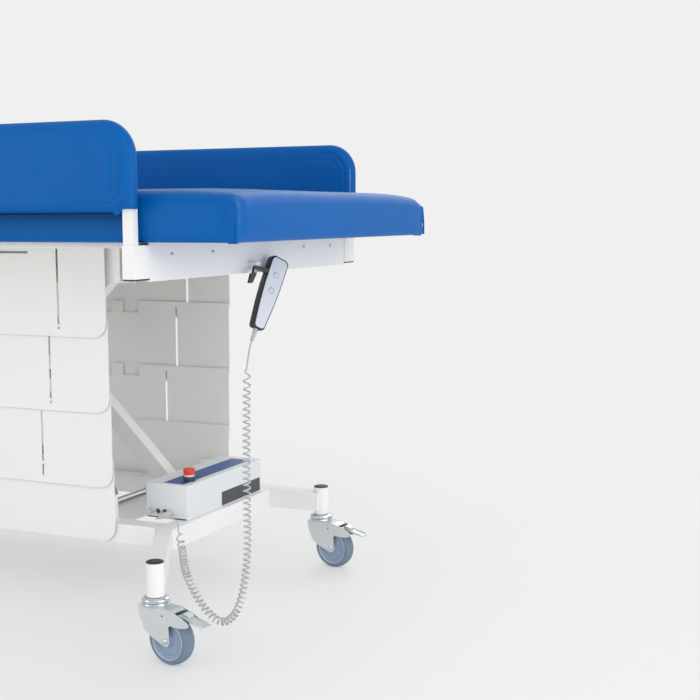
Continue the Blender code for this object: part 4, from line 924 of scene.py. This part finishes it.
class DressFrame(bpy.types.Operator):
    """Finish the base frame, the guard panels, the top frame and the lift's works."""

    bl_idname = "changing_table.frame"
    bl_label = "Frame and lift"

    def execute(self, context):
        edge = sizes().tube_edge
        tubes = ["near_beam", "far_beam", "cross_beam_right", "cross_beam_left"]
        tubes += ["near_leg_right", "near_leg_left", "actuator_crossbar", "fixed_foot_arm", "rolling_foot_arm"]
        dress(tubes, "paint", edge)
        dress(["roller_channel_near", "roller_channel_far", "upper_pivot_bracket"], "paint", 0.8 * MM)
        dress(["end_plate_right", "end_plate_left"], "paint", 0.8 * MM)
        dress(["panel_" + side + "_" + str(n) for side, _ in SIDES for n in (1, 2, 3, 4)], "paint", sizes().sheet_edge)
        dress(["base_board"], "board", 0.6 * MM)
        works = ["lower_pivot_shaft", "centre_shaft", "upper_pivot_shaft", "lower_roller_axle"]
        works += ["upper_roller_axle", "lift_lug", "actuator_body", "actuator_rod"]
        dress(works, "steel", 0.8 * MM)
        self.post_caps()
        self.sleeve_caps()
        self.screws()
        return {"FINISHED"}

    def post_caps(self):
        """Close the four caster posts with domed caps."""
        profile = [(0.0, 4.5), (8.0, 4.3), (15.0, 3.6), (18.5, 2.4), (19.6, 0.9), (19.6, 0.05), (0.0, 0.05)]
        profile = metres(profile)
        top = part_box("near_leg_right")[1].z
        for side, end in CORNERS:
            joint = next(j for j in frame["joints"] if j["name"] == "swivel_" + side + "_" + end)
            place = Matrix.Translation((joint["pos_m"][0], joint["pos_m"][1], top))
            piece("post_cap_" + side + "_" + end, turned(profile, place), "cap", "base")

    def sleeve_caps(self):
        """Close the sleeves of the rail posts below, and beside the posts above."""
        for end, x in ENDS:
            low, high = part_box("end_plate_" + end)
            shapes = []
            left, right = SLEEVE_X
            plates = ((*SLEEVE_LOW, SLEEVE_Y, high.y), (*SLEEVE_TOP, SLEEVE_Y + 2 * MM, SLEEVE_TOP_Y))
            for _, y in SIDES:
                for z0, z1, y0, y1 in plates:
                    edges = sorted((y * y0, y * y1))
                    ends = sorted((x * (left + MM), x * (right - MM)))
                    shapes.append(extruded(rounded(ends[0], edges[0], ends[1], edges[1], 2 * MM), z0, z1))
            piece("sleeve_caps_" + end, joined(*shapes), "cap", "top", 0.5 * MM)

    def screws(self):
        """Set the pan head screws of the end plates."""
        head = [(0.0, 2.6), (2.6, 2.5), (4.4, 1.7), (5.0, 0.6), (5.0, 0.02), (0.0, 0.02)]
        head = metres(head)
        for end, x in ENDS:
            shapes = []
            for y in SCREW_YS:
                turn = Matrix.Rotation(x * math.pi / 2, 4, "Y")
                shapes.append(turned(head, Matrix.Translation((SCREW_FACE_X * x, y, SCREW_Z)) @ turn, 20))
            piece("end_screws_" + end, joined(*shapes), "zinc", "top")


class DressCasters(bpy.types.Operator):
    """Make the forks, swivel rings, wheels and brake pedals of the four casters."""

    bl_idname = "changing_table.casters"
    bl_label = "Casters"

    def execute(self, context):
        for side, end in CORNERS:
            label = "_" + side + "_" + end
            joint = next(j for j in frame["joints"] if j["name"] == "swivel" + label)
            place = Matrix.Translation((joint["pos_m"][0], joint["pos_m"][1], 0.0))
            place = place @ Matrix.Rotation(CASTER_YAW, 4, "Z")
            self.fork(label, place)
            self.wheel(label, place)
            self.pedal(label, place)
        return {"FINISHED"}

    def fork(self, label, place):
        """Make the pressed fork with its crown, swivel rings and axle nuts."""
        inside, sheet = 19.0, 2.5
        outline = [(-31.0, 124.0), (-32.0, 114.0), (-27.5, 96.0), (-16.5, 72.5), (2.0, 59.0), (33.0, 46.8)]
        outline += arc(45.0, 55.0, 12.0, 228, 352, 8)
        outline += [(55.5, 66.0), (54.5, 84.5)]
        outline += arc(61.0, 84.5, 6.5, 165, 90, 5)
        outline += [(68.5, 89.8), (89.0, 90.2), (104.0, 93.0), (110.0, 97.0), (111.0, 101.0), (106.0, 105.5)]
        outline += [(91.0, 112.5), (73.0, 119.0), (56.0, 123.5), (42.0, 124.0)]
        rivet = arc(36.7, 108.5, 2.0, 0, 360, 16)[:-1]
        outline, rivet = metres(outline), metres(rivet)
        shapes = []
        for sign in (1, -1):
            edges = sorted((sign * inside * MM, sign * (inside + sheet) * MM))
            shapes.append(extruded(outline, *edges, place @ STAND_UP, [rivet]))
        half = (inside + sheet) * MM
        crown = [(-31.0, 119.0), (42.0, 119.0), (56.0, 118.4), (66.0, 115.2), (67.0, 119.4), (56.0, 123.0)]
        crown += [(42.0, 123.5), (-31.0, 123.5)]
        shapes.append(extruded(metres(crown), -half + MM, half - MM, place @ STAND_UP))
        item = piece("caster_fork" + label, joined(*shapes), "zinc", "caster" + label, 0.7 * MM)
        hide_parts("fork" + label)
        rings = [(0.0, 122.0), (26.0, 122.0), (30.0, 122.8), (31.0, 124.6), (31.0, 126.2), (30.2, 127.0)]
        rings += [(30.2, 127.6), (31.0, 128.2), (30.4, 130.0), (28.0, 131.0), (28.0, 131.8), (30.2, 133.0)]
        rings += [(30.8, 135.6), (29.6, 138.8), (26.0, 140.8), (22.0, 141.4), (0.0, 141.4)]
        shape = turned(metres(rings), place)
        piece("swivel_ring" + label, shape, "chrome", "caster" + label)
        nut = [(0.0, 4.6), (3.6, 4.4), (5.4, 3.4), (6.0, 2.0), (7.4, 1.7), (7.4, 0.05), (0.0, 0.05)]
        nut = metres(nut)
        nuts = []
        for sign in (1, -1):
            turn = Matrix.Rotation(-sign * math.pi / 2, 4, "X")
            nuts.append(turned(nut, place @ Matrix.Translation((CASTER_TRAIL, sign * half, WHEEL_R)) @ turn, 24))
        axle = Matrix.Translation((CASTER_TRAIL, 0.0, WHEEL_R)) @ STAND_UP
        rod = [(0.0, -half), (4.0 * MM, -half), (4.0 * MM, half), (0.0, half)]
        nuts.append(turned(rod, place @ axle, 20))
        piece("axle_nuts" + label, joined(*nuts), "chrome", "caster" + label)

    def wheel(self, label, place):
        """Make the tyre, the pale rim in it and the moulded hub."""
        axle = place @ Matrix.Translation((CASTER_TRAIL, 0.0, WHEEL_R)) @ STAND_UP
        half_tyre = [(42.8, 15.4), (44.4, 16.6), (48.0, 16.6), (51.2, 15.0), (53.4, 11.6), (54.5, 6.6)]
        tyre = metres(half_tyre) + [(WHEEL_R, 0.0)]
        tyre += metres((r, -w) for r, w in reversed(half_tyre))
        item = piece("tyre" + label, turned(tyre, axle, 64), "tyre", "roller" + label)
        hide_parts("wheel" + label)
        half_hub = [(4.4, 17.6), (11.5, 17.6), (12.6, 16.2), (13.8, 12.0), (20.0, 10.6), (32.0, 10.8), (34.2, 14.0)]
        half_hub += [(35.6, 15.0), (38.4, 15.0), (39.4, 13.8), (40.6, 13.6)]
        half_rim = [(40.4, 13.4), (40.8, 16.2), (41.8, 17.0), (42.8, 16.4), (43.0, 13.4)]
        for name, half in (("hub", half_hub), ("rim", half_rim)):
            ring = metres(half) + metres((r, -w) for r, w in reversed(half))
            piece(name + label, turned(ring, axle, 64), name, "roller" + label)

    def pedal(self, label, place):
        """Make the brake pedal: a bent tray with a raised tread tab, a lip and a pin."""
        wide, half = 14.0, 18.6 * MM
        outline = [(70.5, 110.0), (72.0, 114.2), (77.0, 115.2), (90.0, 111.8), (112.0, 106.4), (138.0, 101.6)]
        outline += [(146.0, 101.4), (147.0, 99.6), (145.0, 98.2), (137.0, 98.4), (112.0, 103.4), (90.0, 108.8)]
        outline += [(78.0, 111.2), (73.0, 108.8)]
        shapes = [extruded(metres(outline), -wide * MM, wide * MM, place @ STAND_UP)]
        tab = [(80.0, 110.0), (81.5, 117.6), (85.0, 120.4), (98.5, 117.2), (102.0, 113.6), (101.0, 106.0)]
        shapes.append(extruded(metres(tab), -9.0 * MM, 9.0 * MM, place @ STAND_UP))
        edge = [(103.0, 106.0), (104.0, 110.6), (138.0, 103.8), (139.0, 100.0)]
        for sign in (1, -1):
            sides = sorted((sign * 11.6 * MM, sign * 13.6 * MM))
            shapes.append(extruded(metres(edge), *sides, place @ STAND_UP))
        pin = place @ Matrix.Translation(PEDAL_PIN) @ STAND_UP
        shapes.append(turned([(0.0, -half), (3.0 * MM, -half), (3.0 * MM, half), (0.0, half)], pin, 20))
        item = piece("brake_pedal" + label, joined(*shapes), "zinc", "brake" + label, 0.6 * MM)
        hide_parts("pedal" + label)


class DressControls(bpy.types.Operator):
    """Make the control box with its film, patch and sockets, and the emergency stop."""

    bl_idname = "changing_table.controls"
    bl_label = "Control box"

    def execute(self, context):
        self.low, self.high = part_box("control_box")
        self.top = self.low.z + 0.0877
        self.case()
        self.trim()
        self.stop()
        return {"FINISHED"}

    def case(self):
        """Make the case in two halves with a joint line, and its feet flange."""
        left, right = self.low.x, self.high.x
        split = self.low.z + 0.012
        base = extruded(rounded(left, self.low.y, right, self.high.y, 5 * MM), self.low.z, split - 0.4 * MM)
        inset = 0.6 * MM
        plan = rounded(left + inset, self.low.y + inset, right - inset, self.high.y - inset, 6 * MM)
        core = extruded(plan, split - 1.0 * MM, split + 1.0 * MM)
        lid = extruded(rounded(left, self.low.y, right, self.high.y, 6 * MM), split + 0.4 * MM, self.top)
        item = piece("control_case", joined(base, core, lid), "case", "base", 3.0 * MM, 3)
        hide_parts("control_box")

    def slab(self, name, u0, v0, u1, v1, kind, matrix, thick=0.5 * MM, radius=1.5 * MM):
        """Lay a thin plate with round corners on a face."""
        shape = extruded(rounded(u0, v0, u1, v1, radius), 0.02 * MM, thick, matrix)
        piece(name, shape, kind, "base", 0.15 * MM)

    def trim(self):
        """Lay the films on the top, the patch on the end, and a line of painted shadow and the sockets on the near
        face.
        """
        up = Matrix.Translation((0.0, 0.0, self.top))
        self.slab("label_front", 0.449, -0.008, 0.507, 0.088, "label", up)
        self.slab("label_rear", 0.449, 0.089, 0.507, 0.333, "label", up)
        right = Matrix.Translation((self.high.x, 0.0, 0.0)) @ FACE_RIGHT
        self.slab("grip_patch", 0.145, 0.2055, 0.350, 0.241, "patch", right, 0.8 * MM, 1.0 * MM)
        near = Matrix.Translation((0.0, self.low.y, 0.0)) @ STAND_UP
        # A thin strip in the stop collar's dark navy along the foot of the near face: painted shadow under the case's
        # lower edge
        self.slab("base_shadow_line", 0.408, 0.2030, 0.522, 0.2055, "navy", near, 0.6 * MM, 0.8 * MM)
        ring = [(0.0, 0.6), (7.2, 0.6), (7.4, 2.4), (8.0, 3.0), (8.6, 2.2), (8.6, 0.02), (0.0, 0.02)]
        ring = metres(ring)
        outer = [turned(ring, near @ Matrix.Translation((x, 0.2195, 0.0)), 32) for x in (0.420, 0.440, 0.460)]
        piece("socket_rings", joined(*outer), "zinc", "base")
        # Flat dark discs on two of the sockets: painted shade inside their holes
        hole = metres([(0.0, 0.75), (5.6, 0.75), (5.6, 0.5), (0.0, 0.5)])
        dark = [turned(hole, near @ Matrix.Translation((x, 0.2195, 0.0)), 28) for x in (0.440, 0.460)]
        piece("socket_pit_shades", joined(*dark), "cap", "base")
        collar = [(7.4, 0.02), (9.0, 0.02), (9.0, 1.6), (8.2, 2.2), (7.4, 2.2)]
        collar = turned(metres(collar), near @ Matrix.Translation((0.478, 0.219, 0.0)), 32)
        piece("plug_collar", collar, "case", "base")
        oval = rounded(0.430, 0.245, 0.478, 0.255, 4.9 * MM)
        inner = rounded(0.4312, 0.2462, 0.4768, 0.2538, 3.7 * MM)
        piece("case_emboss", extruded(oval, 0.0, 0.7 * MM, near, [inner]), "case", "base", 0.2 * MM)

    def stop(self):
        """Make the emergency stop's collar and ring, and the head whose skirt goes over the ring."""
        low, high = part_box("e_stop_button")
        middle = Matrix.Translation(((low.x + high.x) / 2, (low.y + high.y) / 2, self.top))
        collar = [(0.0, 0.1), (16.0, 0.1), (16.0, 1.4), (15.3, 2.0), (15.0, 10.8), (14.2, 12.0), (0.0, 12.0)]
        piece("stop_collar", turned(metres(collar), middle), "navy", "base")
        ring = [(0.0, 12.0), (13.0, 12.0), (13.2, 12.6), (13.0, 17.4), (12.4, 18.0), (0.0, 18.0)]
        piece("stop_ring", turned(metres(ring), middle), "pale", "base")
        rise = (high.z - self.top) / MM
        head = [(0.0, rise), (9.0, rise - 0.2), (13.2, rise - 1.0), (15.0, rise - 2.6), (15.5, rise - 4.4)]
        head += [(15.2, rise - 7.0), (14.4, rise - 10.0), (14.4, 17.0), (13.6, 16.6), (13.6, 22.6), (0.0, 22.6)]
        item = piece("stop_head", turned(metres(head), middle), "red", "e_stop")
        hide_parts("e_stop_button")


class DressHandset(bpy.types.Operator):
    """Make the handset with its face film, hook and strain relief, and finish its keys."""

    bl_idname = "changing_table.handset"
    bl_label = "Handset"

    def execute(self, context):
        matrix = handset_matrix()
        half = HANDSET_THICK / 2
        item = piece("handset_shell", self.shell(matrix, half), "shell", "top")
        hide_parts("handset")
        self.face(matrix, half)
        self.relief(matrix)
        self.hook()
        dress(["key_up", "key_down"], "keys", 0.5 * MM)
        return {"FINISHED"}

    def outline(self, inset):
        """Return the shell's outline: a squared top, sides that taper and a narrow round foot."""
        top, low, long = 0.0250 - inset, 0.0165 - inset, HANDSET_LENGTH - inset
        points = arc(top - 0.011, -0.011 - inset, 0.011, 0, 90, 6)
        points += arc(-top + 0.011, -0.011 - inset, 0.011, 90, 180, 6)
        points += [(-top + 0.0005, -0.075), (-top + 0.003, -0.120)]
        points += arc(-low + 0.008, -long + 0.008, 0.008, 180, 270, 6)
        points += arc(low - 0.008, -long + 0.008, 0.008, 270, 360, 6)
        points += [(top - 0.003, -0.120), (top - 0.0005, -0.075)]
        return points

    def shell(self, matrix, half):
        """Return the shell, skinned through outlines from back to face."""
        levels = [(5.0, -1.0), (2.4, -0.92), (0.8, -0.72), (0.0, -0.42)]
        levels += [(0.0, 0.70), (0.3, 0.86), (0.9, 0.96), (1.5, 1.0)]
        shape = bmesh.new()
        loops = []
        for inset, share in levels:
            loop = [shape.verts.new((u, v, half * share)) for u, v in self.outline(inset * MM)]
            loops.append(loop)
        for lower, upper in zip(loops, loops[1:]):
            for index in range(len(lower)):
                shape.faces.new((lower[index - 1], lower[index], upper[index], upper[index - 1]))
        shape.faces.new(loops[0])
        shape.faces.new(loops[-1])
        bmesh.ops.transform(shape, matrix=matrix, verts=shape.verts)
        return shape

    def face(self, matrix, half):
        """Lay the pale film on the face, with thin rings round the keys."""
        low, high = half + 0.02 * MM, half + 0.4 * MM
        holes = [arc(0.0, v, KEY_R + 0.2 * MM, 0, 360, 28)[:-1] for v in KEY_PLACES]
        shape = extruded(self.outline(3.4 * MM), low, high, matrix, holes)
        piece("handset_film", shape, "keypad", "top", 0.12 * MM)
        rings = []
        for v in KEY_PLACES:
            outer = arc(0.0, v, KEY_R + 1.9 * MM, 0, 360, 32)[:-1]
            inner = arc(0.0, v, KEY_R + 1.4 * MM, 0, 360, 32)[:-1]
            rings.append(extruded(outer, high - 0.05 * MM, high + 0.15 * MM, matrix, [inner]))
        piece("key_rings", joined(*rings), "ring", "top")

    def relief(self, matrix):
        """Make the ribbed, tapered strain relief."""
        foot = matrix @ Matrix.Translation((0.0, -HANDSET_LENGTH + MM, 0.0)) @ Matrix.Rotation(math.pi / 2, 4, "X")
        profile = [(0.0, 0.0), (6.6 * MM, 0.0)]
        ribs = 9
        for rib in range(ribs):
            for part, swell in ((0.15, 0.0), (0.45, -0.8 * MM), (0.70, -0.8 * MM), (1.0, 0.0)):
                share = (rib + part) / ribs
                radius = 6.6 * MM + (RELIEF_R - 6.6 * MM) * share + swell
                profile.append((max(WIRE_R + 0.6 * MM, radius), (RELIEF_LENGTH + MM) * share))
        profile.append((0.0, RELIEF_LENGTH + MM))
        piece("strain_relief", turned(profile, foot, 28), "jacket", "top")

    def hook(self):
        """Make the hook that lies against the hanger block: an arm to the shell and a tip that hangs down."""
        outline = [(5.0, 833.0), (-20.0, 831.5), (-45.0, 836.0), (-70.0, 839.5), (-78.0, 838.5), (-81.0, 834.0)]
        outline += [(-84.0, 823.0), (-95.0, 822.0), (-106.0, 801.5), (-103.0, 800.0), (-88.0, 800.0), (-72.0, 816.0)]
        outline += [(-66.0, 822.5), (-79.5, 824.0), (-77.5, 832.5), (-64.0, 828.5), (-45.0, 825.5), (-30.0, 821.0)]
        outline += [(5.0, 820.0)]
        shape = extruded(metres(outline), *HOOK_X, FACE_RIGHT)
        piece("handset_hook", shape, "shell", "top", 0.8 * MM)


class TablePanel(bpy.types.Panel):
    """Lists the settings and the pieces of the changing table."""

    bl_idname = "VIEW3D_PT_changing_table"
    bl_label = "Changing Table"
    bl_space_type = "VIEW_3D"
    bl_region_type = "UI"
    bl_category = "Changing Table"

    def draw(self, context):
        layout = self.layout
        for group in (context.scene.table_colours, context.scene.table_sizes):
            for name in group.__annotations__:
                layout.prop(group, name)
        for step in STEPS:
            layout.operator(step.bl_idname)


STEPS = (
    DressStage, DressCord, DressMattress, DressRails, DressFrame, DressCasters, DressControls, DressHandset,
)
CLASSES = (TableColours, TableSizes, *STEPS, TablePanel)


def register():
    """Register the settings, the steps and the panel."""
    for kind in CLASSES:
        bpy.utils.register_class(kind)
    bpy.types.Scene.table_colours = PointerProperty(type=TableColours)
    bpy.types.Scene.table_sizes = PointerProperty(type=TableSizes)


def unregister():
    """Remove what register added."""
    del bpy.types.Scene.table_sizes
    del bpy.types.Scene.table_colours
    for kind in reversed(CLASSES):
        bpy.utils.unregister_class(kind)


def main():
    """Build the looks in order."""
    register()
    bpy.ops.changing_table.stage()
    bpy.ops.changing_table.cord()
    bpy.ops.changing_table.mattress()
    bpy.ops.changing_table.rails()
    bpy.ops.changing_table.frame()
    bpy.ops.changing_table.casters()
    bpy.ops.changing_table.controls()
    bpy.ops.changing_table.handset()


if __name__ == "__main__":
    main()
